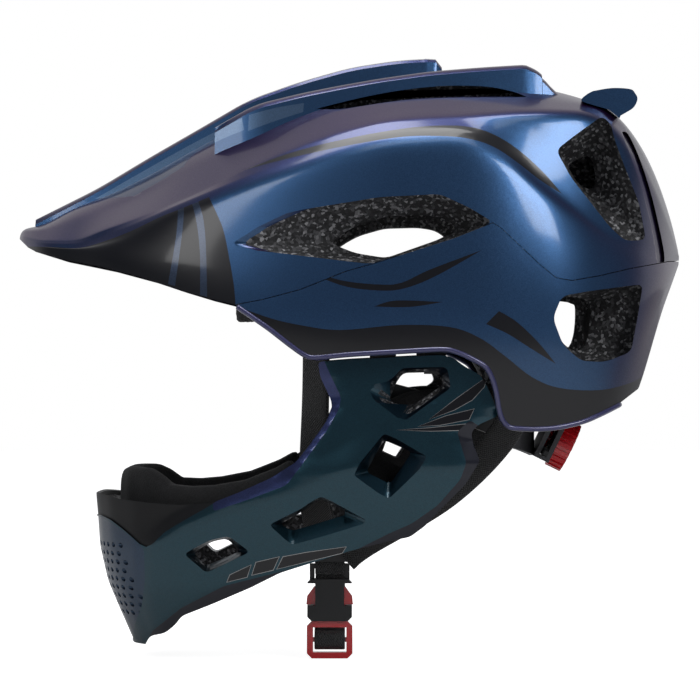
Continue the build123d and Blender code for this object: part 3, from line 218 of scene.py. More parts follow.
def skinned(name, rings, mats=(), smooth=True):
    """A closed skin over rings that all have as many points, capped at both ends, its faces turned outward."""
    bm = bmesh.new()
    loops = [[bm.verts.new(p) for p in ring] for ring in rings]
    for one, two in zip(loops, loops[1:]):
        for k in range(len(one)):
            after = (k + 1) % len(one)
            bm.faces.new((one[k], one[after], two[after], two[k]))
    bm.faces.new(loops[0][::-1])
    bm.faces.new(loops[-1])
    for face in bm.faces:
        face.smooth = smooth
    bmesh.ops.remove_doubles(bm, verts=bm.verts, dist=1e-6)
    bmesh.ops.recalc_face_normals(bm, faces=bm.faces)
    return finished(name, bm, mats)


def finished(name, bm, mats=()):
    """An object at the origin from a bmesh."""
    mesh = bpy.data.meshes.new(name)
    bm.to_mesh(mesh)
    bm.free()
    return placed(name, mesh, mats)


def placed(name, mesh, mats=()):
    for m in mats:
        mesh.materials.append(m)
    obj = bpy.data.objects.new(name, mesh)
    bpy.context.scene.collection.objects.link(obj)
    return obj


def evened(values, kernel, mirrored=False):
    """A running mean that keeps both ends, over values carried on past them."""
    reach = len(kernel) // 2
    head = values[reach:0:-1]
    head = head if mirrored else 2 * values[0] - head
    tail = 2 * values[-1] - values[-2:-2 - reach:-1]
    return np.convolve(np.concatenate([head, values, tail]), kernel / kernel.sum(), "valid")


def feature_line(line, xs):
    """A feature line's y and z at the stations xs, on a curve that keeps the rise and fall of its points."""
    places = [at(c, r, share * HALF_WIDTH) for c, r, share in line]
    x = np.array([p.x for p in places])
    steps = np.diff(x)
    w1, w2 = 2 * steps[1:] + steps[:-1], steps[1:] + 2 * steps[:-1]
    i = np.clip(np.searchsorted(x, xs) - 1, 0, len(x) - 2)
    h = steps[i]
    t = (xs - x[i]) / h

    def on_curve(v):
        d = np.diff(v) / steps
        before, after = (np.where(part == 0, 1, part) for part in (d[:-1], d[1:]))
        slope = np.zeros(len(v))
        slope[1:-1] = np.where(d[:-1] * d[1:] > 0, (w1 + w2) / (w1 / before + w2 / after), 0)
        slope[0], slope[-1] = d[0], d[-1]
        return ((2 * t**3 - 3 * t**2 + 1) * v[i] + (t**3 - 2 * t**2 + t) * h * slope[i]
                + (3 * t**2 - 2 * t**3) * v[i + 1] + (t**3 - t**2) * h * slope[i + 1])

    return on_curve(np.array([share * HALF_WIDTH for _, _, share in line])), on_curve(np.array([p.z for p in places]))


def straight(a, b, count):
    """Points on the way from a to b, without a itself."""
    return [(a[0] + (b[0] - a[0]) * t, a[1] + (b[1] - a[1]) * t) for t in np.linspace(0, 1, count + 1)[1:]]


def helmet_body(name, inset, mats=()):
    """The outer form as a closed mesh, drawn in by the inset."""
    along = (0.5 - 0.5 * np.cos(np.pi * np.linspace(0, 1, STATIONS))) ** 0.8
    xs = EYE.x + (TIP_COL + LENGTH_COLS * along - MIDDLE) * PX
    kernel = np.exp(-0.5 * (np.arange(-4, 5) / 2.0) ** 2)
    lines = [(*(evened(v, kernel) for v in feature_line(line, xs)), iy, iz) for line, iy, iz in FEATURE_LINES]
    middle = EYE.x + (MIDDLE_COL - MIDDLE) * PX
    rings = []
    for i, x in enumerate(middle + (xs - middle) * (1 - inset / HALF_LENGTH)):
        crest, edge, flank, ridge, foot, wide, low, under = (
            (max(y[i] + iy * inset, y[i] / 4), z[i] + iz * inset) for y, z, iy, iz in lines)
        half = [(edge[0] * t, crest[1] + (edge[1] - crest[1]) * t * t) for t in np.linspace(0, 1, 20)]
        half += straight(edge, flank, 7) + straight(flank, ridge, 12) + straight(ridge, foot, 4)
        start, end = np.array(foot), np.array(low)
        pull = 2 * np.array(wide) - 0.5 * (start + end)
        half += [tuple((1 - t) ** 2 * start + 2 * t * (1 - t) * pull + t * t * end) for t in np.linspace(0, 1, 33)[1:]]
        half = np.array(half + straight(low, under, 6))
        for _ in range(2):
            half[1:-1] = half[1:-1] * 0.5 + (half[:-2] + half[2:]) * 0.25
        rings.append([(x, -y, z) for y, z in half] + [(x, y, z) for y, z in half[::-1][:-1]])
    return skinned(name, rings, mats)


# Crown ribs: three raised ribs moulded in the skin, with rounded shoulders and blunt rear ends. Each is given as
# (column, row) of its top line and its half width in millimetres.
MIDDLE_RIB = ((36, 222, 3), (60, 210, 6), (100, 190, 9), (150, 160, 11), (200, 131.5, 13), (250, 102.5, 15),
    (300, 85, 16), (350, 71, 17), (395, 64, 17), (425, 62, 16.5), (435, 62.5, 16), (441, 70, 15))
OUTER_RIB = ((215, 130, 2), (255, 107, 6), (300, 96, 8), (340, 88, 9), (380, 81, 10), (430, 74, 10), (480, 70, 10),
    (520, 67.5, 9.5), (536, 67, 9), (541, 80, 8.5), (552, 91, 8), (565, 103, 6))
OUTER_RIB_Y, RIB_SPREAD, RIB_DEPTH = 0.035, 0.004, 0.022


def rib_body(name, line, centre, inset, mats=()):
    """A crown rib as a closed mesh that reaches down into the shell."""
    cols, tops, wides = np.array(line, float).T
    dense = np.unique(np.concatenate([np.linspace(cols[0], cols[-1], 90), cols[-3:]]))
    rows, halves = np.interp(dense, cols, tops), np.interp(dense, cols, wides)
    for v in (rows, halves):
        core = np.convolve(v, np.ones(7) / 7, "valid")
        v[3:-6] = core[:len(v) - 9]
    rings = []
    for i, (col, row, half) in enumerate(zip(dense, rows, halves)):
        top = at(col, row, centre)
        x = top.x + (inset if i == 0 else -inset if i == len(dense) - 1 else 0)
        half, z = half / 1000, top.z - inset
        flat, spread = max(half - inset, half / 3), half + RIB_SPREAD - inset
        profile = [(-spread, top.z - RIB_DEPTH), (-flat - 0.0012, z - 0.0062), (-flat - 0.0004, z - 0.0016),
                   (-flat + 0.0009, z - 0.0003), (-flat * 0.5, z + 0.0008), (0, z + 0.0012)]
        profile += [(-a, b) for a, b in profile[-2::-1]]
        rings.append([(x, centre + a, b) for a, b in profile])
    return skinned(name, rings, mats)


def bake(obj):
    """Applies an object's modifiers."""
    old = obj.data
    mesh = bpy.data.meshes.new_from_object(obj.evaluated_get(bpy.context.evaluated_depsgraph_get()))
    obj.modifiers.clear()
    obj.data = mesh
    mesh.name = old.name
    bpy.data.meshes.remove(old)


def cut(obj, tools, how="DIFFERENCE", keep=False):
    """Works closed forms into a closed form, one by one, and clears them away."""
    for tool in tools:
        mod = obj.modifiers.new("cut", "BOOLEAN")
        mod.object, mod.operation, mod.solver = tool, how, "MANIFOLD"
        bake(obj)
    if not keep:
        for tool in tools:
            bpy.data.objects.remove(tool, do_unlink=True)
    return obj


def whole_form(tag, inset, mats):
    """The helmet body with its crown ribs."""
    body = helmet_body("form" + tag, inset, mats)
    return cut(body, [rib_body("rib_m" + tag, MIDDLE_RIB, 0, inset, mats),
                      rib_body("rib_l" + tag, OUTER_RIB, OUTER_RIB_Y, inset, mats),
                      rib_body("rib_r" + tag, OUTER_RIB, -OUTER_RIB_Y, inset, mats)], "UNION")


# Vents: moulded openings, full size through the skin and flared down to a throat in the foam. Each has the outlines
# of its mouth and throat, and how far from the middle plane the skin, the throat's start and its end lie.
VENTS = ((((184, 243), (230, 228), (300, 210), (380, 197), (440, 194), (470, 208), (493, 222), (455, 238),
    (370, 264), (270, 252)), ((330, 243), (345, 232), (360, 224), (388, 216), (425, 215), (444, 218), (458, 228),
    (440, 239), (386, 258), (355, 253)), 0.087, 0.076, 0.060), (((556, 150), (574, 136), (602, 116), (611, 124),
    (614, 138), (624, 165), (639, 203), (646, 240), (625, 241), (609, 226), (588, 199), (572, 179)), ((568, 166),
    (574, 161), (582, 157), (588, 156), (592, 160), (594, 168), (596, 178), (594, 188), (589, 189), (584, 187),
    (579, 184), (573, 176)), 0.058, 0.044, 0.020), (((553, 318), (562, 296), (590, 291), (643, 284), (638, 315),
    (631, 352), (605, 362), (581, 361), (563, 345)), ((556, 320), (562, 307), (580, 302), (588, 304), (588, 320),
    (584, 332), (575, 342), (569, 340), (561, 330)), 0.060, 0.048, 0.020),)
# Crown vents: the columns and the millimetres across at which each starts and ends.
CROWN_VENTS = ((300, 372, 21.5, 25.5), (392, 470, 21.5, 25.5), (455, 540, -9, 9))
CROWN_VENT_TOP, CROWN_VENT_LOW, CROWN_VENT_DRAFT, CROWN_VENT_CORNER = 0.045, -0.04, 0.0015, 0.0018


def rounded(points, size, steps=4):
    """Rounds the corners of a closed outline."""
    out, n = [], len(points)
    for i in range(n):
        a, b, c = (np.array(points[(i + k) % n], float) for k in (-1, 0, 1))
        u, v = a - b, c - b
        r = min(size, np.linalg.norm(u) * 0.45, np.linalg.norm(v) * 0.45)
        p, q = b + u / np.linalg.norm(u) * r, b + v / np.linalg.norm(v) * r
        out += [tuple((1 - t) ** 2 * p + 2 * t * (1 - t) * b + t * t * q) for t in np.linspace(0, 1, steps + 1)]
    return out


def eased(before, a, b, after, t):
    """A point between a and b on a smooth run through four places."""
    return 0.5 * (2 * a + (b - before) * t + (2 * before - 5 * a + 4 * b - after) * t**2
                  + (3 * a - before - 3 * b + after) * t**3)


def curve(points, closed=True, steps=5):
    """A smooth curve through photograph pixels. A pixel given twice stays a corner."""
    pts, out = [np.array(p, float) for p in points], []
    n = len(pts)
    for i in range(n if closed else n - 1):
        a, b, c, d = (pts[(i + k) % n] if closed else pts[min(max(i + k, 0), n - 1)] for k in (-1, 0, 1, 2))
        if not np.allclose(b, c):
            out += [tuple(eased(a, b, c, d, t)) for t in np.linspace(0, 1, steps, endpoint=False)]
    return out if closed else out + [tuple(pts[-1])]


def one_side(name, rings, mats=()):
    """A closed body on the near side, along the lines of sight through outlines given as (pixels, distance)."""
    return skinned(name, [[at(c, r, y) for c, r in pixels] for pixels, y in rings], mats, smooth=False)


def other_side(obj, name):
    """A mirrored copy for the wearer's right."""
    mesh = obj.data.copy()
    mesh.transform(Matrix.Scale(-1, 4, (0, 1, 0)))
    mesh.flip_normals()
    return placed(name, mesh)


def each_side(name, rings, mats=()):
    near = one_side(name, rings, mats)
    return [near, other_side(near, name + "_right")]


def across(name, outline, reach=SIDE_REACH, mats=()):
    """A closed body from side to side, along the lines of sight through an outline of pixels."""
    near, middle = ([at(c, r, y) for c, r in outline] for y in (reach, 0))
    return skinned(name, [near, middle, [(p.x, -p.y, p.z) for p in near]], mats, smooth=False)


# Long slot under each outer rib, open into the foam.
SLOT = curve(((316, 109), (316, 109), (333, 104.5), (369, 96), (406, 89.6), (442, 86), (471, 85.8), (493, 87.4),
    (514, 92), (527, 97), (527, 97), (471, 96.8), (420, 98.6), (391, 101.5), (362, 106), (340, 109)))


def vent_tools(slot_depth):
    """Cutters for every vent and slot of the shell."""
    tools = []
    for n, (mouth, throat, y_skin, y_in, y_end) in enumerate(VENTS):
        m, t = rounded(mouth, 7), rounded(throat, 7)
        tools += each_side(f"vent_{n}", [(m, SIDE_REACH), (m, y_skin), (t, y_in), (t, y_end)], [bead_foam])
    tools += each_side("slot_rib", [(SLOT, SIDE_REACH), (SLOT, slot_depth)], [bead_foam])
    for n, (front, rear, y0, y1) in enumerate(CROWN_VENTS):
        rings = []
        for z, out in ((CROWN_VENT_TOP, CROWN_VENT_DRAFT), (CROWN_VENT_LOW, -CROWN_VENT_DRAFT)):
            x0, x1 = at(front, 0).x - 2 * out, at(rear, 0).x + 2 * out
            a, b = y0 / 1000 - out, y1 / 1000 + out
            rings.append([(x, y, z) for x, y in rounded([(x0, a), (x1, a), (x1, b), (x0, b)], CROWN_VENT_CORNER)])
        near = skinned(f"slot_{n}", rings, [bead_foam], smooth=False)
        tools += [near, other_side(near, near.name + "_r")] if y0 > 0 else [near]
    return tools


# Skins of the shell: two mouldings of 2 mm polycarbonate that meet at a seam over the vents, with a fin on each side
# behind the crown. Both are bonded to the liner, and end at the rim.
FIN = curve(((582, 101), (586, 95), (593, 91), (593, 91), (612, 88), (630, 89), (635, 93), (637.5, 99), (634, 107),
    (627, 112), (618, 117), (618, 117), (613, 111), (600, 107)))
RIM = ((0, 234), (19, 238.5), (23, 242.5), (28, 247.5), (36, 252), (55, 258), (79, 262.5), (100, 266.5), (140, 277),
    (170, 287), (200, 296), (236, 305), (252, 315), (270, 328), (292, 345), (307, 355), (318, 356), (350, 353),
    (400, 350), (440, 348), (455, 350), (472, 357), (487, 366), (494, 378), (498, 392), (502, 414), (508, 424),
    (518, 427), (550, 427), (580, 421), (600, 413), (620, 403), (638, 389), (648, 372), (655, 350), (664, 335),
    (720, 325))
SEAM = ((236, 305), (262, 300), (300, 290), (345, 272), (380, 262), (455, 238), (493, 223), (502, 229), (520, 246),
    (540, 265), (556, 278), (572, 281), (600, 276), (630, 269), (652, 265), (668, 262), (720, 260))
SKIN, SEAM_GAP, FIN_OUT, FIN_IN, GROOVE_DEPTH = 0.002, 0.8, 0.058, 0.044, 0.0011
SKIN_SLOT_DEPTH, FOAM_SLOT_DEPTH = 0.028, 0.036
SHEET_TOP, SHEET_BOTTOM, SHEET_FRONT = -200, 700, -60


def twin(obj, name):
    """A copy in the same place."""
    out = obj.copy()
    out.data = obj.data.copy()
    out.name = name
    bpy.context.scene.collection.objects.link(out)
    return out


def repainted(obj, mat):
    obj.data.materials.clear()
    obj.data.materials.append(mat)
    obj.data.polygons.foreach_set("material_index", [0] * len(obj.data.polygons))


def below(name, line, raised=0.0):
    """Everything under a line."""
    return across(name, [(c, r - raised) for c, r in line] + [(line[-1][0], SHEET_BOTTOM), (line[0][0], SHEET_BOTTOM)])


def above(name, line):
    """Everything over a line, and all in front of it."""
    return across(name, [*line, (line[-1][0], SHEET_TOP), (SHEET_FRONT, SHEET_TOP), (SHEET_FRONT, SHEET_BOTTOM),
                         (line[0][0], SHEET_BOTTOM)])


outer = whole_form("_out", 0.0, [shell_paint])
cut(outer, each_side("fin", [(FIN, FIN_OUT), (FIN, FIN_IN)], [shell_paint]), "UNION")
inner = whole_form("_in", SKIN, [black_inside])
groove_floor = helmet_body("sunk_form", GROOVE_DEPTH, [shell_paint])
foam = twin(inner, "eps_foam")
repainted(foam, bead_foam)
skin = cut(outer, [inner, below("rim", RIM)] + vent_tools(SKIN_SLOT_DEPTH))
lower = twin(skin, "shell_lower")
skin.name = "shell_upper"
cut(skin, [below("seam_up", SEAM, SEAM_GAP)])
cut(lower, [above("seam_low", SEAM)])


# Paint of the upper shell: gloss black sides of the peak with two grey stripes, a black swoosh over the ridge, a
# lighter blue wedge on each side of the peak that is a painted highlight on the lit side faces of the ribs, and a
# violet rear band behind a sunk groove.
FRONT_BLACK = curve(((0, 246), (0, 246), (50, 247), (79, 248), (105, 241), (131, 231), (160, 217), (180, 209),
    (209, 197), (209, 197), (217, 214), (224, 232), (230, 262), (234, 286), (236, 310), (236, 310), (0, 310),
    (0, 310)))
FRONT_STRIPES = (curve(((178, 209.5), (178, 209.5), (184, 207), (184, 207), (183, 225), (180, 250), (175, 286),
    (175, 286), (168, 284), (168, 284), (174, 250), (177, 228))), curve(((192, 203), (192, 203), (198, 200.5),
    (198, 200.5), (203.5, 220), (206, 250), (207, 297), (207, 297), (200, 295), (200, 295), (200, 255),
    (197, 225))))
RIDGE_SWOOSH = curve(((244, 170), (244, 170), (290, 153), (345, 139), (400, 129), (440, 125.5), (470, 127),
    (495, 135), (520, 151), (545, 174), (562, 194), (562, 194), (540, 180), (518, 163), (494, 147), (468, 138.5),
    (438, 136), (400, 137), (345, 146), (290, 158)))
# Painted highlight: the lit side faces of the middle rib and the outer rib's front, in the lighter blue.
LIT_FACE_WEDGES = (curve(((95, 199), (95, 199), (140, 173), (190, 145), (242, 118), (242, 118), (244, 130), (244, 130),
    (218, 141), (192, 155), (183, 166), (165, 178), (134, 196), (134, 196))), curve(((249, 115), (249, 115),
    (275, 108), (304, 103), (304, 103), (303, 112), (303, 112), (275, 121), (248, 131), (248, 131))))
NAPE_GROOVE = curve(((622, 132), (622, 132), (628, 134), (639, 157), (650, 190), (658, 222), (664, 252), (664, 266),
    (664, 266), (658, 266), (658, 266), (653, 232), (644, 196), (633, 163)))
NAPE_BAND = curve(((628, 120), (628, 120), (628, 134), (639, 157), (650, 190), (658, 222), (664, 252), (664, 268),
    (664, 268), (720, 268), (720, 268), (720, 120), (720, 120)))


def paint_zone(obj, outline, mat, name, sunk=None):
    """Gives what lies inside an outline its own finish, sunk to a second form where one is given."""
    zone = twin(obj, name)
    cut(zone, [across("zone_tool", outline)], "INTERSECT")
    cut(obj, [across("zone_tool", outline)])
    if sunk:
        cut(zone, [sunk], "INTERSECT", keep=True)
    repainted(zone, mat)
    return zone


def joined(name, objs):
    """One object from several, with each one's materials."""
    mats = list(dict.fromkeys(m for o in objs for m in o.data.materials))
    bm = bmesh.new()
    for o in objs:
        table = [mats.index(m) for m in o.data.materials] or [0]
        start = len(bm.faces)
        bm.from_mesh(o.data)
        bm.faces.ensure_lookup_table()
        for face in bm.faces[start:]:
            face.material_index = table[min(face.material_index, len(table) - 1)]
    out = finished(name, bm, mats)
    for o in objs:
        bpy.data.objects.remove(o, do_unlink=True)
    out.name = name
    return out


def crisp(obj, angle=32):
    """Smooth shading that breaks at real edges."""
    bm = bmesh.new()
    bm.from_mesh(obj.data)
    for face in bm.faces:
        face.smooth = True
    for edge in bm.edges:
        edge.smooth = len(edge.link_faces) == 2 and edge.calc_face_angle(0) < math.radians(angle)
    bm.to_mesh(obj.data)
    bm.free()
    return obj


def fitted(obj, node, body):
    """Hides the solid that a piece stands for, and hangs the piece on the body that carries it."""
    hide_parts(node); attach(obj, body)


zones = [paint_zone(skin, FRONT_BLACK, gloss_black, "front_black")]
zones += [paint_zone(zones[0], s, stripe_grey, "front_stripe") for s in FRONT_STRIPES]
zones += [paint_zone(skin, RIDGE_SWOOSH, gloss_black, "ridge_swoosh")]
zones += [paint_zone(skin, s, lit_face_blue, "painted_lit_wedge") for s in LIT_FACE_WEDGES]
zones += [paint_zone(skin, NAPE_GROOVE, violet, "nape_groove", groove_floor),
          paint_zone(skin, NAPE_BAND, violet, "nape_rib")]
bpy.data.objects.remove(groove_floor, do_unlink=True)
fitted(crisp(joined("shell_upper", [skin] + zones)), "upper_shell", "helmet")


# Paint of the lower shell: a gloss black band along its rim, and three tapered black strokes on its flank, all under
# the clear coat.
LOWER_BLACK = curve(((236, 306), (236, 306), (270, 318), (300, 325), (340, 330), (400, 325), (450, 327), (480, 338),
    (505, 356), (532, 377), (560, 388), (600, 390), (630, 383), (650, 373), (700, 355), (700, 355), (700, 470),
    (700, 470), (200, 470), (200, 470), (200, 306), (200, 306)))
STROKES = (curve(((296, 266), (296, 266), (340, 280), (380, 284.5), (402, 282.5), (430, 269.5), (482, 250),
    (482, 250), (436, 276), (404, 288.5), (378, 290.5), (340, 285))), curve(((374, 306.5), (374, 306.5),
    (396, 300.5), (443, 302), (443, 302), (410, 307))), curve(((486, 324), (486, 324), (499, 311), (499, 311),
    (517, 322), (538, 342), (556, 364), (556, 364), (530, 348), (508, 334))))
zones = [paint_zone(lower, LOWER_BLACK, gloss_black, "rim_black")]
zones += [paint_zone(lower, s, gloss_black, "stroke") for s in STROKES]
fitted(crisp(joined("shell_lower", [lower] + zones)), "lower_shell", "helmet")


# Liner: bead foam moulded inside the shell, about 20 mm thick, hollow for the head and under the peak. It ends a
# little above the rim of the skins.
PEAK_HOLLOW = ((40, 250), (75, 246), (110, 244), (150, 244), (185, 258), (212, 282), (230, 300), (236, 320),
    (236, 560), (40, 560))
FOAM_RAISED, PEAK_FOAM = 5.0, 0.0085
HEAD_LONG, HEAD_WIDE, HEAD_CROWN, CROWN_RINGS, CAVITY_RINGS, WALL_STEP = 0.098, 0.077, 0.080, 24, 40, 0.012


def cavity_body():
    """The room for the head: a dome over a straight wall."""
    rings = []
    for k in range(CAVITY_RINGS):
        if k < CROWN_RINGS:
            rise = math.pi / 2 * (1 - (k + 0.3) / CROWN_RINGS)
            z, full = -HEAD_CROWN + HEAD_CROWN * math.sin(rise), math.cos(rise)
        else:
            z, full = -HEAD_CROWN - (k - CROWN_RINGS + 1) * WALL_STEP, 1
        rings.append([(HEAD_LONG * full * math.cos(t), HEAD_WIDE * full * math.sin(t), z)
                      for t in np.linspace(0, 2 * math.pi, 97)[:-1]])
    return skinned("cavity", rings)


hollow = cut(helmet_body("peak_hollow", PEAK_FOAM, [bead_foam]), [across("peak_cut", PEAK_HOLLOW)], "INTERSECT")
cut(foam, [below("foam_rim", RIM, FOAM_RAISED), hollow, cavity_body()] + vent_tools(FOAM_SLOT_DEPTH))
fitted(crisp(foam), "eps_liner", "helmet")


# Chin guard: a moulded nylon bow that plugs up into the shell, 2.6 mm thick, painted like it. The main panel stands
# proud and a bevel runs all round it. Its levels close across the rear, as (row, front column, half width in mm).
GUARD_LEVELS = ((336, 108, 90.0), (400, 103, 91.5), (462, 97, 93.0), (492, 95, 90.0), (514, 97, 87.0),
    (545, 99, 82.0), (580, 107, 76.5), (606, 118, 71.0), (640, 133, 64.0))
# The bow's plan: shares of its length and of its half width.
GUARD_PLAN = ((0.0, 0.0), (0.012, 0.2), (0.045, 0.36), (0.11, 0.53), (0.2, 0.675), (0.32, 0.80), (0.48, 0.90),
    (0.7, 0.965), (1.0, 1.0))
MAIN_PANEL = ((328, 369), (341, 396), (340, 408), (326, 432), (298, 470), (286, 485.5), (250, 499), (212, 511),
    (180, 525), (152, 545), (150, 580), (146, 612), (152, 628), (180, 606), (224, 585), (300, 566), (346, 555),
    (390, 533), (411, 524), (437, 506), (460, 480), (466, 463), (458, 433), (490, 415), (500, 400), (500, 340),
    (320, 340))
CREASE = ((146, 548), (200, 528), (250, 510), (300, 491), (330, 477), (356, 462), (400, 440))
GUARD_OUTLINE = rounded(((318, 362), (320, 376), (331, 400), (332, 408), (326, 422), (311, 443), (296, 462),
    (271, 478), (240, 492), (212, 503), (180, 505), (150, 503), (120, 499), (97, 492), (60, 492), (60, 690),
    (120, 690), (150, 636), (165, 633), (175, 625), (182, 616), (210, 605), (250, 588), (280, 573), (305, 565),
    (350, 551), (390, 541), (410, 537), (425, 526), (440, 510), (465, 485), (480, 461), (474, 446), (471, 433),
    (478, 425), (498, 416), (494, 402), (487, 386), (480, 375), (464, 366), (452, 357), (440, 355), (400, 357),
    (350, 359.5)), 4)
# Windows of the guard: the outline of each one's mouth and of its throat.
WINDOWS = (
    (((369, 390), (392, 379), (402, 368), (447, 367), (451, 388), (405, 421), (374, 400)),
     ((389, 400), (396, 383), (403, 373), (439, 372), (444, 384), (413, 405), (396, 404))),
    (((384, 433), (428, 457), (389, 499), (353, 475)),
     ((384, 440), (412, 452), (390, 484), (366, 472))),
    (((269, 525), (299, 510), (321, 496), (366, 520), (363, 524), (292, 545)),
     ((280, 524), (300, 513), (320, 498.5), (345, 510), (345, 515), (292, 531))),
    (((184, 554), (210, 540), (229, 536), (250, 552), (206, 573)),
     ((193, 553), (212, 541.5), (227, 538.5), (240, 551), (206, 566))))
GUARD_TOP, GUARD_BOTTOM, GUARD_REAR_COL, GUARD_RINGS, GUARD_SPOTS = 336, 640, 510, 110, 90
GUARD_WALL, CREASE_DEPTH, BEVEL_SLOPE, LEAST_SHARE = 0.0026, 0.0020, 0.00026, 0.15
WINDOW_PROUD, WINDOW_FLARE, WINDOW_IN, WINDOW_END = 0.004, 0.6, -0.0066, -0.034
COLLAR_SIZE, COLLAR_DEPTH = 1.12, -0.0085
guard_paint = lacquer("guard_paint", (0.012, 0.018, 0.045), (0.012, 0.036, 0.062), (0.012, 0.046, 0.068),
                      (0.012, 0.044, 0.058), 0.34)


def outside_by(outline, cols, rows):
    """How many pixels each point lies outside a closed outline."""
    pts, q = np.array(outline, float), np.stack([cols, rows], 1)
    best, inside = np.full(len(q), 1e9), np.zeros(len(q), bool)
    for a, b in zip(pts, np.roll(pts, -1, 0)):
        ab = b - a
        t = np.clip(((q - a) @ ab) / (ab @ ab), 0, 1)
        best = np.minimum(best, np.linalg.norm(q - (a + t[:, None] * ab), axis=1))
        reach = a[0] + (q[:, 1] - a[1]) * ab[0] / (ab[1] if ab[1] else 1e-9)
        inside ^= ((a[1] > q[:, 1]) != (b[1] > q[:, 1])) & (q[:, 0] < reach)
    return np.where(inside, 0, best)


def guard_body(name, inset, mats=()):
    """The bow as a closed mesh of levels, drawn in by the inset."""
    rows = np.linspace(GUARD_TOP, GUARD_BOTTOM, GUARD_RINGS)
    keys, *columns = zip(*GUARD_LEVELS)
    fronts, halves = (evened(np.interp(rows, keys, column), np.hanning(9)[1:-1]) for column in columns)
    t, knots = np.linspace(0, 1, GUARD_SPOTS), np.linspace(0, 1, len(GUARD_PLAN))
    back, out = (evened(np.interp(t, knots, v), np.hanning(15)[1:-1], mirrored)
                 for v, mirrored in zip(zip(*GUARD_PLAN), (True, False)))
    back, out = back - back[0], out / out[-1]
    crease_cols, crease_rows = zip(*CREASE)
    rings = []
    for row, front, half in zip(rows, fronts, halves):
        z = at(0, row).z
        x0, x1 = at(front, row).x + inset, at(GUARD_REAR_COL, row).x
        x = x0 + back * (x1 - x0)
        y = out * (half / 1000 - inset)
        near = 1 - y / CAMERA_FAR
        cols, seen = MIDDLE + (x - EYE.x) / near / PX, MIDDLE - (z - EYE.z) / near / PX
        over = np.interp(cols, crease_cols, crease_rows) - seen
        fade = np.clip((cols - 110) / 50, 0, 1) * np.clip((400 - cols) / 60, 0, 1)
        push = CREASE_DEPTH * np.clip(over / 26, 0, 1) * fade
        push += BEVEL_SLOPE * np.clip(outside_by(MAIN_PANEL, cols, seen), 0, 13) * np.clip((cols - 135) / 40, 0, 1)
        right = [(a, b, z) for a, b in zip(x, np.maximum(y - push, LEAST_SHARE * y))]
        rings.append([(a, -b, z) for a, b, z in right[::-1][:-1]] + right)
    return skinned(name, rings, mats)


def surface_prism(name, tree, rings, mats=()):
    """Cutters for both sides whose rings follow a surface: each ring is (pixels, how far over the surface)."""
    def on_surface(col, row, rise):
        place = tree.ray_cast(EYE, (at(col, row) - EYE).normalized())[0]
        return at(col, row, max((abs(place.y) if place else 0.06) + rise, 0.004))

    near = skinned(name, [[on_surface(c, r, rise) for c, r in pixels] for pixels, rise in rings], mats, smooth=False)
    return [near, other_side(near, name + "_right")]


def window_tools():
    tools = []
    for k, (mouth, throat) in enumerate(WINDOWS):
        m, t = np.array(rounded(mouth, 5)), rounded(throat, 5)
        wider = m + (m - t) * WINDOW_FLARE
        tools += surface_prism(f"window_{k}", guard_tree, [(wider, WINDOW_PROUD), (t, WINDOW_IN), (t, WINDOW_END)],
                               [guard_paint])
    return tools


guard_full = guard_body("guard_full", 0.0, [guard_paint])
guard_tree = BVHTree.FromObject(guard_full, bpy.context.evaluated_depsgraph_get())
collars = []
for k, (mouth, _) in enumerate(WINDOWS):
    middle = np.mean(mouth, 0)
    wide = rounded(middle + (np.array(mouth) - middle) * COLLAR_SIZE, 6)
    collars += surface_prism(f"collar_{k}", guard_tree, [(wide, WINDOW_PROUD), (wide, COLLAR_DEPTH)], [guard_paint])
collar_body = cut(twin(guard_full, "collar_body"), [cut(collars[0], collars[1:], "UNION")], "INTERSECT")
guard = cut(twin(guard_full, "guard"), [guard_body("guard_in", GUARD_WALL, [black_inside])])
cut(guard, [collar_body], "UNION")
cut(guard, [across("guard_profile", GUARD_OUTLINE)], "INTERSECT")
cut(guard, window_tools())
bpy.data.objects.remove(guard_full, do_unlink=True)


# Lip and mouth grille: two plastic insets set flush in the front of the guard, the lip satin black and the grille
# blue with nine staggered rows of air holes.
LIP = ((60, 470), (105, 480), (120, 490), (150, 495), (213, 498), (213, 503.5), (190, 517), (165, 532), (146, 547),
    (125, 531), (101, 515), (60, 509))
GRILLE = ((60, 510), (100, 516), (125, 532), (144, 548.5), (145, 580), (142, 605), (134, 627), (126, 700),
    (60, 700))
INSET_DEPTH, HOLE, HOLE_PITCH, HOLE_ROWS, FIRST_ROW, ROW_STEP = 0.0007, 0.00125, 0.0048, 9, 541, 8.4
DRILL_X, DRILL_LENGTH = -0.16, 0.08
satin_black = Finish("satin_black", (0.002, 0.002, 0.003), 0.45, specular=0.3).mat
grille_blue = lacquer("grille_blue", (0.014, 0.024, 0.05), (0.016, 0.032, 0.062), (0.02, 0.042, 0.08),
                      (0.018, 0.038, 0.07), 0.34)
inset_floor = guard_body("guard_sunk", INSET_DEPTH, [gloss_black])
lip = paint_zone(guard, curve(LIP, steps=3), satin_black, "guard_lip_piece", inset_floor)
grille = paint_zone(guard, rounded(GRILLE, 5), grille_blue, "mouth_grille", inset_floor)
bpy.data.objects.remove(inset_floor, do_unlink=True)
drill = bmesh.new()
for i in range(HOLE_ROWS):
    for j in range(-7, 8 - i % 2):
        centre = Vector((DRILL_X, (j + 0.5 * (i % 2)) * HOLE_PITCH, at(0, FIRST_ROW + i * ROW_STEP).z))
        bmesh.ops.create_cone(drill, cap_ends=True, segments=10, radius1=HOLE, radius2=HOLE, depth=DRILL_LENGTH,
                              matrix=Matrix.Translation(centre) @ Matrix.Rotation(math.pi / 2, 4, "Y"))
cut(grille, [finished("grille_holes", drill, [gloss_black])])
fitted(crisp(lip), "guard_lip", "chin_guard")
fitted(crisp(grille), "guard_grille", "chin_guard")


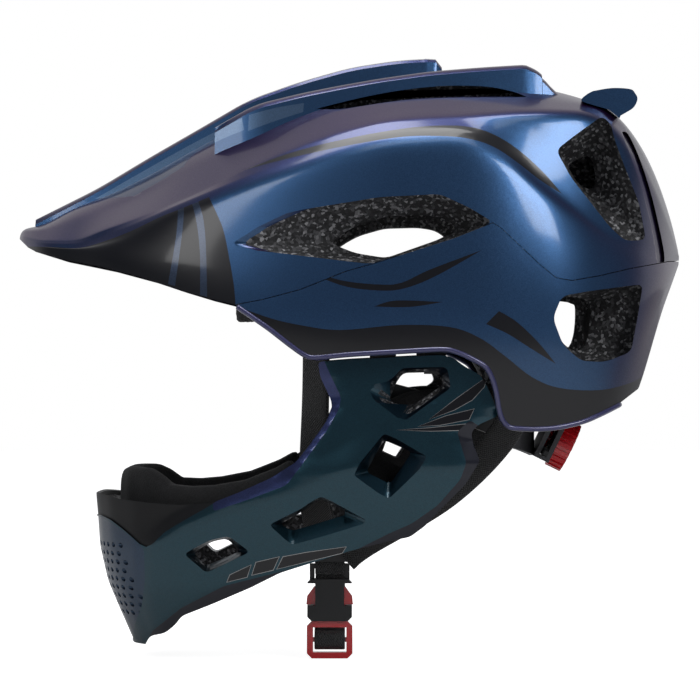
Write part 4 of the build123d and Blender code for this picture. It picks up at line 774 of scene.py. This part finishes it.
# Guard paint: a violet bevel along the face opening, a dark bevel along the lower and rear edge, and black blocks and
# streaks with a pale outline, all under the clear coat.
FACE_BEVEL = ((316, 340), (328, 370), (341, 397), (339.5, 408), (326, 432), (298, 470), (286, 485.5), (250, 499),
    (213, 511.5), (213, 470), (290, 440), (300, 400), (300, 340))
LOWER_BEVEL = ((457, 432), (466.5, 463), (460, 480), (437, 506), (411, 524), (390, 533), (346, 555), (300, 567),
    (224, 586), (181, 608), (151, 632), (140, 690), (440, 620), (540, 500), (500, 440), (470, 420))
BLOCKS = (((230, 575), (251, 565), (247, 577), (227, 582)), ((256, 562.5), (279, 557), (273, 570), (252, 575)),
    ((283, 557), (307, 552.5), (346, 547), (342, 553), (277, 569)))
STREAKS = (((429, 419.5), (456, 399), (488, 376), (484, 387), (472, 400), (454, 410)), ((418, 426.5), (446, 416),
    (474, 409), (469, 419.5), (440, 425)), ((396, 430), (430, 428), (467, 424), (465, 430), (430, 431)))
PALE_EDGE = 0.55
dark_bevel = Finish("dark_bevel", (0.006, 0.007, 0.015), 0.32, 0.5, 0.4, 0.12).mat
pale_line = Finish("pale_line", (0.30, 0.30, 0.30), 0.35, 0.6, 0.6).mat


def grown(points, px):
    """An outline moved outward by some pixels."""
    p = np.array(points, float)
    e = np.roll(p, -1, 0) - p
    n = np.stack([e[:, 1], -e[:, 0]], 1) / np.linalg.norm(e, axis=1)[:, None]
    area = np.sum(p[:, 0] * np.roll(p[:, 1], -1) - np.roll(p[:, 0], -1) * p[:, 1])
    n = n if area > 0 else -n
    both = n + np.roll(n, 1, 0)
    return p + both / np.maximum((both * n).sum(1), 0.6)[:, None] * px


zones = [paint_zone(guard, rounded(FACE_BEVEL, 4), violet, "face_bevel"),
         paint_zone(guard, rounded(LOWER_BEVEL, 4), dark_bevel, "lower_bevel")]
for s in BLOCKS + STREAKS:
    edge = paint_zone(guard, grown(s, PALE_EDGE), pale_line, "graphic_edge")
    zones += [paint_zone(edge, s, gloss_black, "graphic"), edge]
fitted(crisp(joined("guard_shell_piece", [guard] + zones), 28), "guard_shell", "chin_guard")


# Foam of the guard: bead foam 9 mm thick, bonded inside the bow, open behind the grille and at the windows. It stops
# short of the guard's edges.
GUARD_FOAM = ((324, 368), (326, 378), (337, 400), (338, 409), (330, 426), (315, 446), (299, 465), (273, 482),
    (241, 496), (212, 507), (180, 509), (150, 507), (120, 503), (97, 496), (60, 496), (60, 680), (120, 680),
    (150, 629), (165, 627), (175, 619), (182, 611), (210, 600), (250, 583), (280, 568), (305, 560), (350, 546),
    (388, 536), (405, 531), (420, 521), (435, 505), (459, 482), (473, 460), (467, 446), (464, 431), (474, 419),
    (488, 412), (485, 404), (479, 389), (472, 379), (461, 371), (450, 362), (400, 362), (350, 365))
BREATHING = ((60, 530), (172, 530), (172, 610), (60, 610))
GUARD_FOAM_IN, BREATHING_HALF = 0.0116, 0.017
guard_foam = guard_body("guard_bead_foam", GUARD_WALL, [bead_foam])
cut(guard_foam, [across("foam_profile", GUARD_FOAM)], "INTERSECT")
cut(guard_foam, [guard_body("guard_deep", GUARD_FOAM_IN, [bead_foam]),
                 across("breathing", BREATHING, BREATHING_HALF)] + window_tools())
fitted(crisp(guard_foam), "guard_foam", "chin_guard")


# Head pads: open foam under brushed black knit, held in the liner by hook tape. Each is a crowned strip whose sides
# draw in to a flat back, a little uneven as sewn foam is.
knit_finish = Finish("brushed_knit", (0.004, 0.004, 0.005), 0.95, sheen=0.05)
knit_place = knit_finish.place()
loops = knit_finish.node("ShaderNodeTexNoise", {"Vector": knit_place, "Scale": 1400.0, "Detail": 3.0}).outputs[0]
folds = knit_finish.node("ShaderNodeTexNoise", {"Vector": knit_place, "Scale": 60.0, "Detail": 2.0}).outputs[0]
knit_finish.to("Base Color", knit_finish.ramp(loops, ((0.35, (0.002, 0.002, 0.0025)), (0.65, (0.009, 0.009, 0.010)))))
knit_finish.bump(knit_finish.math("ADD", loops, knit_finish.math("MULTIPLY", folds, 2.5)), 0.5, 0.0006)
knit = knit_finish.mat
PAD_PROFILE = [(-0.84, 0.0), (-0.97, 0.10), (-1.0, 0.32), (-0.95, 0.55), (-0.84, 0.76), (-0.66, 0.90),
    (-0.42, 0.97), (-0.16, 1.0)]
PAD_PROFILE += [(-a, b) for a, b in PAD_PROFILE[::-1]]
PAD_STATIONS, PAD_END_SHARE, PAD_THICK, PAD_OFF_WALL, RIPPLE = 56, 0.55, 0.0065, 0.0011, 0.00025


def pad_strip(name, place):
    """A cushion along a path: place(share along, share across, share of the depth) gives a point of it."""
    rings = []
    for t in (i / (PAD_STATIONS - 1) for i in range(PAD_STATIONS)):
        full = PAD_END_SHARE + (1 - PAD_END_SHARE) * (1 - abs(2 * t - 1) ** 5) ** 0.5
        swell = 1 + 0.05 * math.sin(9 * math.pi * t) * random.uniform(0.4, 1.0)
        rings.append([place(t, a * full, b * full * swell) for a, b in PAD_PROFILE])
    pad = skinned(name, rings, [knit])
    rounder = pad.modifiers.new("round", "SUBSURF")
    rounder.levels = rounder.render_levels = 1
    bake(pad)
    for v in pad.data.vertices:
        v.co += v.normal * RIPPLE * math.sin(v.co.x * 900 + math.sin(v.co.z * 700) * 2) * math.sin(v.co.y * 800)
    return pad


def wall_place(z, start, end, height):
    """Places on the cavity's wall at a height z, between two angles in degrees."""
    def place(t, across, deep):
        turn, inset = math.radians(start + (end - start) * t), PAD_OFF_WALL + deep * PAD_THICK
        return (HEAD_LONG - inset) * math.cos(turn), (HEAD_WIDE - inset) * math.sin(turn), z + across * height / 2
    return place


def crown_place(t, across, deep):
    """Places on the crown of the cavity, from front to rear."""
    turn, inset = math.radians(-36 + 72 * t), PAD_OFF_WALL + 0.0026 * across**2 + deep * PAD_THICK
    return ((HEAD_LONG - inset) * math.sin(turn), across * 0.018,
            (HEAD_CROWN - inset) * math.cos(turn) - HEAD_CROWN)


def padded(pad, node, body):
    """Fits a padded piece."""
    fitted(pad, node, body)


for name, node, place in (("pad_brow", "brow_pad", wall_place(-0.086, 145, 215, 0.020)),
                          ("pad_nape", "nape_pad", wall_place(-0.098, -32, 32, 0.024)),
                          ("pad_side_left", "side_pad_left", wall_place(-0.088, -62, -112, 0.024)),
                          ("pad_side_right", "side_pad_right", wall_place(-0.088, 62, 112, 0.024)),
                          ("pad_crown", "crown_pad", crown_place)):
    padded(pad_strip(name, place), node, "helmet")


# Mouth pad: a fat roll of knit over foam along the inside of the bow, held by hook tape, higher at the nose. Its top
# edge follows a line of the photograph.
BOW_TOP = ((100, 492), (106, 478), (112, 469), (121, 466), (136, 468), (146, 474), (158, 484), (178, 486),
    (200, 485), (230, 480), (260, 468.5), (290, 452), (304, 444))
BOW_INSET, BOW_FRONT_COL, BOW_HALF, BOW_END_COL, BOW_END_Y, BOW_STEPS = 0.0168, 96, 0.0895, 303, 0.07, 120
BOW_THICK, BOW_TALL, BOW_OVER, BOW_SHIFT = 0.0052, 0.020, 0.012, 14
bow_front, bow_rear = at(BOW_FRONT_COL, 0).x + BOW_INSET, at(GUARD_REAR_COL, 0).x
bow_knots = np.linspace(0, 1, len(GUARD_PLAN))
bow_back, bow_out = (np.interp(np.linspace(0, 1, 400), bow_knots, v) for v in zip(*GUARD_PLAN))
plan_x, plan_y = bow_front + bow_back * (bow_rear - bow_front), bow_out * (BOW_HALF - BOW_INSET)
run_at = np.concatenate([[0], np.cumsum(np.hypot(np.diff(plan_x), np.diff(plan_y)))])
bow_t = np.linspace(-1, 1, BOW_STEPS + 1)
gone = abs(bow_t) * np.interp(at(BOW_END_COL, 0, BOW_END_Y).x, plan_x, run_at)
bow_path = np.stack([np.interp(gone, run_at, plan_x), np.interp(gone, run_at, plan_y) * np.sign(bow_t)], 1)
for _ in range(30):
    bow_path[1:-1] = bow_path[1:-1] * 0.5 + (bow_path[:-2] + bow_path[2:]) * 0.25
squarish = [(math.copysign(abs(math.cos(q)) ** 0.6, math.cos(q)), math.copysign(abs(math.sin(q)) ** 0.6, math.sin(q)))
            for q in np.linspace(0, 2 * math.pi, 29)[:-1]]
top_cols, top_rows = zip(*BOW_TOP)
rings = []
for i, (x, y) in enumerate(bow_path):
    run = bow_path[min(i + 1, BOW_STEPS)] - bow_path[max(i - 1, 0)]
    run /= np.linalg.norm(run)
    near = 1 - abs(y) / CAMERA_FAR
    top_row = np.interp(MIDDLE + (x - EYE.x) / near / PX - BOW_SHIFT, top_cols, top_rows)
    top = EYE.z - (top_row - MIDDLE) * PX * near
    low = min(top - BOW_TALL, at(0, 500, abs(y)).z - BOW_OVER)
    full = min(1.0, (1 - abs(bow_t[i])) * 12 + 0.35)
    thick, tall = BOW_THICK * full * (1 + 0.04 * math.sin(i * 0.8)), (top - low) / 2 * full
    rings.append([(x - run[1] * thick * c, y + run[0] * thick * c, (top + low) / 2 + tall * s) for c, s in squarish])
padded(skinned("pad_bow", rings, [knit]), "guard_bow_pad", "chin_guard")


# Cheek pads: one thick cushion of knit over foam on each side of the bow, its edge drawn in to a sewn base, with a
# vent hole behind the second window of the guard.
CHEEK = ((350, 412), (372, 409), (392, 398), (410, 391), (440, 389), (460, 394), (468, 406), (462, 432), (456, 470),
    (432, 498), (402, 512), (368, 514), (350, 498), (346, 440))
CHEEK_VENT = rounded(((388, 436), (414, 446), (402, 468), (380, 458)), 5)
CHEEK_MIDDLE, CHEEK_Y = (405, 440.0), 0.074
# The cushion's rounding: how deep each ring lies in millimetres, and how many pixels it is drawn in.
CHEEK_ROUNDING = ((0.0, 6), (1.2, 2.5), (3.0, 0.5), (5.5, 0.6), (8.0, 2.5), (9.8, 6.5), (11.0, 12), (11.8, 20),
    (12.1, 34))
rings = []
for deep, drawn in CHEEK_ROUNDING:
    ring = []
    for c, r in curve(CHEEK, steps=6):
        away = np.array((c, r)) - CHEEK_MIDDLE
        size = np.linalg.norm(away)
        place = at(*(CHEEK_MIDDLE + away / size * max(size - drawn, 4)), CHEEK_Y)
        lean = (c - 350) * 0.00002 - (r - 370) * 0.000045
        ring.append((place.x, -(CHEEK_Y + lean - deep / 1000), place.z))
    rings.append(ring)
cheek = skinned("pad_cheek_left", rings, [knit])
cut(cheek, [one_side("cheek_vent", [(CHEEK_VENT, SIDE_REACH), (CHEEK_VENT, 0.02)], [knit])])
padded(cheek, "cheek_pad_left", "chin_guard")
padded(other_side(cheek, "pad_cheek_right"), "cheek_pad_right", "chin_guard")


# Straps: flat woven polyester webbing 15 mm wide, folded over the anchors in the liner and led through the dividers
# to the buckle.
WEAVE_ALONG, WEAVE_ACROSS, WEBBING_THICK, WEBBING_WIDE, LOOP_WIDE = 0.0016, 0.0012, 0.0013, 0.015, 0.0142
webbing_finish = Finish("webbing_black", (0.012, 0.012, 0.012), 0.7, sheen=0.15)
weave_uv = webbing_finish.node("ShaderNodeSeparateXYZ", {0: webbing_finish.node("ShaderNodeUVMap").outputs[0]})
woven = webbing_finish.math("MULTIPLY", *(
    webbing_finish.math("SINE", webbing_finish.math("MULTIPLY", weave_uv.outputs[k], 2 * math.pi / pitch))
    for k, pitch in enumerate((WEAVE_ACROSS, WEAVE_ALONG))))
webbing_finish.to("Base Color", webbing_finish.ramp(webbing_finish.math("MULTIPLY_ADD", woven, 0.5, 0.5), (
    (0.2, (0.006, 0.006, 0.006)), (0.9, (0.035, 0.035, 0.036)))))
webbing_finish.bump(woven, 0.6, 0.0003)
# Each strap's route: places in millimetres, and the direction across the strap there.
FRONT_STRAP = (((-56.5, -60.0, -100.0), (0.80, -0.60, 0.0)), ((-57.0, -57.5, -135.0), (0.80, -0.60, 0.0)),
    ((-58.0, -41.0, -178.0), (0.84, -0.50, 0.12)), ((-54.0, -19.2, -202.5), (1.0, 0.0, 0.05)),
    ((-52.5, -19.2, -213.0), (1.0, 0.0, 0.0)))
REAR_STRAP = (((42.0, -65.5, -128.0), (0.91, 0.10, -0.41)), ((33.0, -64.5, -151.0), (0.86, 0.08, -0.50)),
    ((6.0, -53.0, -179.0), (0.60, 0.0, -0.80)), ((-33.0, -31.8, -204.0), (0.58, 0.0, -0.81)),
    ((-43.0, -29.6, -212.0), (0.70, 0.0, -0.70)))


def spline(points, steps):
    """A smooth run through places in space."""
    pts, out = [Vector(p) for p in points], []
    for i in range(len(pts) - 1):
        four = [pts[min(max(i + k, 0), len(pts) - 1)] for k in (-1, 0, 1, 2)]
        out += [eased(*four, t) for t in np.linspace(0, 1, steps, endpoint=False)]
    return out + [pts[-1]]


def ribbon(name, path, width, steps=10):
    """A flat strap with rounded edges, and a map of its length and width for the weave."""
    places, sides = spline([Vector(p) / 1000 for p, _ in path], steps), spline([side for _, side in path], steps)
    profile = [(-0.5, -0.3), (-0.5, 0.3), *((u, 1) for u in (-0.47, -0.3, -0.15, 0, 0.15, 0.3, 0.47)), (0.5, 0.3)]
    profile += [(0.5, -0.3), *((-u, -1) for u in (-0.47, -0.3, -0.15, 0, 0.15, 0.3, 0.47))]
    rings, gone = [], [0.0]
    for i, (p, side) in enumerate(zip(places, sides)):
        run = (places[min(i + 1, len(places) - 1)] - places[max(i - 1, 0)]).normalized()
        side = (side - run * side.dot(run)).normalized()
        normal = run.cross(side) * (WEBBING_THICK / 2)
        rings.append([p + side * (u * width) + normal * v for u, v in profile])
        gone.append(gone[-1] + (places[min(i + 1, len(places) - 1)] - p).length)
    strap = skinned(name, rings, [webbing_finish.mat])
    layer, n = strap.data.uv_layers.new(name="UVMap"), len(profile)
    for loop in strap.data.loops:
        layer.data[loop.index].uv = (profile[loop.vertex_index % n][0] * width, gone[loop.vertex_index // n])
    return crisp(strap, 50)


def flipped(path):
    return [((x, -y, z), (u, -v, w)) for (x, y, z), (u, v, w) in path]


for name, node, path in (("strap_front_left", "front_strap_left", FRONT_STRAP),
                         ("strap_front_right", "front_strap_right", flipped(FRONT_STRAP)),
                         ("strap_rear_left", "rear_strap_left", REAR_STRAP),
                         ("strap_rear_right", "rear_strap_right", flipped(REAR_STRAP))):
    fitted(ribbon(name, path, WEBBING_WIDE), node, "helmet")


# Webbing at the buckle: a short doubled loop over the socket's bar, and the long tail that is led round the plug's
# middle bar and up to the right divider.
BUCKLE_X, CROWN_ROW = -50.0, 130
LINK = ((-27.2, 558.6), (-27.5, 563), (-26.6, 567.5), (-24.0, 569.4), (-21.4, 567.5), (-20.5, 563), (-20.8, 558.6))
CHIN_RUN = ((-50.0, 14.0, -237.0), (-50.0, 0.0, -247.8), (-50.0, -15.0, -255.2), (-50.0, -21.5, -256.9),
    (-50.0, -25.9, -255.3), (-50.0, -26.4, -252.4), (-50.0, -25.9, -249.5), (-50.0, -21.5, -248.0),
    (-50.0, -14.0, -246.4), (-50.0, 0.0, -240.0), (-50.0, 13.0, -230.0), (-50.0, 19.0, -221.0),
    (-50.5, 19.2, -214.6))
link_path = [((BUCKLE_X, y, (CROWN_ROW - row) / 2), (1, 0, 0)) for y, row in LINK]
fitted(ribbon("webbing_loop", link_path, LOOP_WIDE), "webbing_link", "helmet")
fitted(ribbon("webbing_chin", [(p, (1, 0, 0)) for p in CHIN_RUN], WEBBING_WIDE, steps=6), "chin_webbing",
       "helmet")


# Moulded hardware: the frame's own pieces, injection moulded, with softened edges. Nylon is black, or grey for the
# nape cradle, and the buckle's plug, its prongs and the dial are red acetal.
black_nylon = Finish("black_nylon", (0.012, 0.012, 0.013), 0.42)
grain = black_nylon.node("ShaderNodeTexNoise", {"Vector": black_nylon.place(), "Scale": 1800.0, "Detail": 2.0})
black_nylon.bump(grain.outputs[0], 0.12, 0.0002)
grey_nylon = Finish("grey_nylon", (0.05, 0.05, 0.055), 0.5)
red_acetal = Finish("red_acetal", (0.55, 0.008, 0.014), 0.22, coat=0.5, coat_rough=0.1)
# Which material each piece has, and how far its edges are rounded in millimetres.
HARDWARE = (
    (black_nylon, {"buckle_socket": 0.7, "divider_left": 0.8, "divider_right": 0.8, "strap_anchors": 0.4,
                   "guard_tongues": 0.3, "guard_sockets": 0.3, "rack_left": 0, "rack_right": 0, "band_left": 0.2,
                   "band_right": 0.2, "temple_pivot_left": 0.3, "temple_pivot_right": 0.3}),
    (grey_nylon, {"cradle": 0.4}),
    (red_acetal, {"buckle_plug": 0.6, "prong_front": 0.5, "prong_rear": 0.5, "dial": 0.3}))
for plastic, nodes in HARDWARE:
    for node, rounding in nodes.items():
        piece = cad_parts[node]
        for s in piece.material_slots:
            s.link, s.material = "OBJECT", plastic.mat
        if rounding:
            soft = piece.modifiers.new("soft_edges", "BEVEL")
            soft.width, soft.segments, soft.limit_method = rounding / 1000, 2, "ANGLE"
            soft.angle_limit, soft.harden_normals = math.radians(30), False


# Rim bead: a soft violet-blue plastic strip, pressed over the shell's lower edge from brow to nape. It lies on the
# surface of the shell along the rim.
BEAD = ((238, 305), (252, 314.5), (270, 327), (292, 344), (307, 354), (318, 355.5), (350, 352.5), (400, 349.5),
    (440, 347.5), (455, 349.5), (472, 356.5), (487, 365.5), (494, 377.5), (498, 391), (502, 413), (508, 423.5),
    (518, 426.5), (550, 426.5), (580, 420.5), (600, 412.5), (620, 402.5))
BEAD_DROP, BEAD_TALL, BEAD_IN, BEAD_PROUD_BY = 0.0008, 0.0014, -0.0013, 0.0020
bead_plastic = Finish("bead_violet", (0.035, 0.035, 0.11), 0.3, 0.35, 0.7).mat
shell_guide = helmet_body("bead_guide", 0.0)
shell_tree = BVHTree.FromObject(shell_guide, bpy.context.evaluated_depsgraph_get())
bpy.data.objects.remove(shell_guide, do_unlink=True)
places = [shell_tree.ray_cast(EYE, (at(c, r) - EYE).normalized())[0] for c, r in curve(BEAD, closed=False, steps=6)]
rings, down_before = [], None
for i, p in enumerate(places):
    run = (places[min(i + 1, len(places) - 1)] - places[max(i - 1, 0)]).normalized()
    out = Vector((0, -1, 0))
    out = (out - run * out.dot(run)).normalized()
    down = run.cross(out)
    if down.z > 0 and abs(run.x) > 0.3:
        down = -down
    if down_before and down.dot(down_before) < 0:
        down = -down
    down_before = down
    rings.append([p + down * (BEAD_DROP + BEAD_TALL * math.sin(a)) + out * (BEAD_IN + BEAD_PROUD_BY * math.cos(a))
                  for a in np.linspace(0, 2 * math.pi, 17)[:-1]])
rim_bead = skinned("rim_bead_left_strip", rings, [bead_plastic])
fitted(rim_bead, "rim_bead_left", "helmet")
fitted(other_side(rim_bead, "rim_bead_right_strip"), "rim_bead_right", "helmet")


# Studio: a plain pale floor that is white to the camera, a white far wall, and soft boxes over, behind and beside the
# helmet. The camera stands at the photograph's angle.
CENTRE = Vector((-0.04, 0, -0.11))
# Each soft box: its place, its width and height, and its power.
LAMPS = {"top_box": ((-0.15, -0.15, 1.05), 0.8, 0.5, 10), "rear_box": ((0.70, -0.98, 0.62), 0.42, 0.50, 7),
         "front_strip": ((-0.93, -1.0, 0.60), 0.20, 0.7, 2.6), "fill_box": ((-0.1, -0.9, 1.5), 1.2, 0.5, 4)}
FLOOR_GAP, FLOOR_HALF, FLOOR_GREY, FLOOR_GLOW = 0.0005, 3, 0.6, 0.9
ROOM_GREY, WALL_START, WALL_FULL, WALL_SHARE = (0.13, 0.14, 0.16, 1), -0.1, 0.55, 0.5
SENSOR, PICTURE_WIDE = 36, 0.35
for name, (place, wide, tall, power) in LAMPS.items():
    box = bpy.data.lights.new(name, "AREA")
    box.shape, box.size, box.size_y, box.energy = "RECTANGLE", wide, tall, power
    lamp = bpy.data.objects.new(name, box)
    bpy.context.scene.collection.objects.link(lamp)
    lamp.location = place
    lamp.rotation_euler = (CENTRE - Vector(place)).to_track_quat("-Z", "Y").to_euler()

world = bpy.context.scene.world = bpy.data.worlds.new("studio")
world.use_nodes = True
room = Nodes(world.node_tree)
facing = room.node("ShaderNodeSeparateXYZ", {0: room.node("ShaderNodeTexCoord").outputs["Generated"]}).outputs[1]
wall = room.node("ShaderNodeMapRange", {0: facing, 1: WALL_START, 2: WALL_FULL, 3: 0.0, 4: WALL_SHARE},
                 interpolation_type="SMOOTHSTEP")
to_camera = room.node("ShaderNodeLightPath").outputs["Is Camera Ray"]
white = room.math("MAXIMUM", to_camera, wall.outputs[0])
mixed = room.node("ShaderNodeMix", {0: white, 6: ROOM_GREY, 7: (1, 1, 1, 1)}, data_type="RGBA")
room.tree.links.new(mixed.outputs[2], room.tree.nodes["Background"].inputs[0])

pale_floor = Finish("pale_floor", (FLOOR_GREY, FLOOR_GREY, FLOOR_GREY), 0.9)
pale_floor.shader.inputs["Emission Color"].default_value = (1, 1, 1, 1)
pale_floor.to("Emission Strength", pale_floor.math(
    "MULTIPLY", pale_floor.node("ShaderNodeLightPath").outputs["Is Camera Ray"], FLOOR_GLOW))
ground = bmesh.new()
bmesh.ops.create_grid(ground, x_segments=1, y_segments=1, size=FLOOR_HALF,
                      matrix=Matrix.Translation((0, 0, cad_lo[2] - FLOOR_GAP)))
finished("floor", ground, [pale_floor.mat])

lens = bpy.data.cameras.new("camera")
lens.sensor_width, lens.lens = SENSOR, SENSOR * CAMERA_FAR / PICTURE_WIDE
camera = bpy.context.scene.camera = bpy.data.objects.new("camera", lens)
bpy.context.scene.collection.objects.link(camera)
camera.location, camera.rotation_euler = EYE, (math.radians(90), 0, 0)
bpy.context.scene.view_settings.view_transform = "Standard"
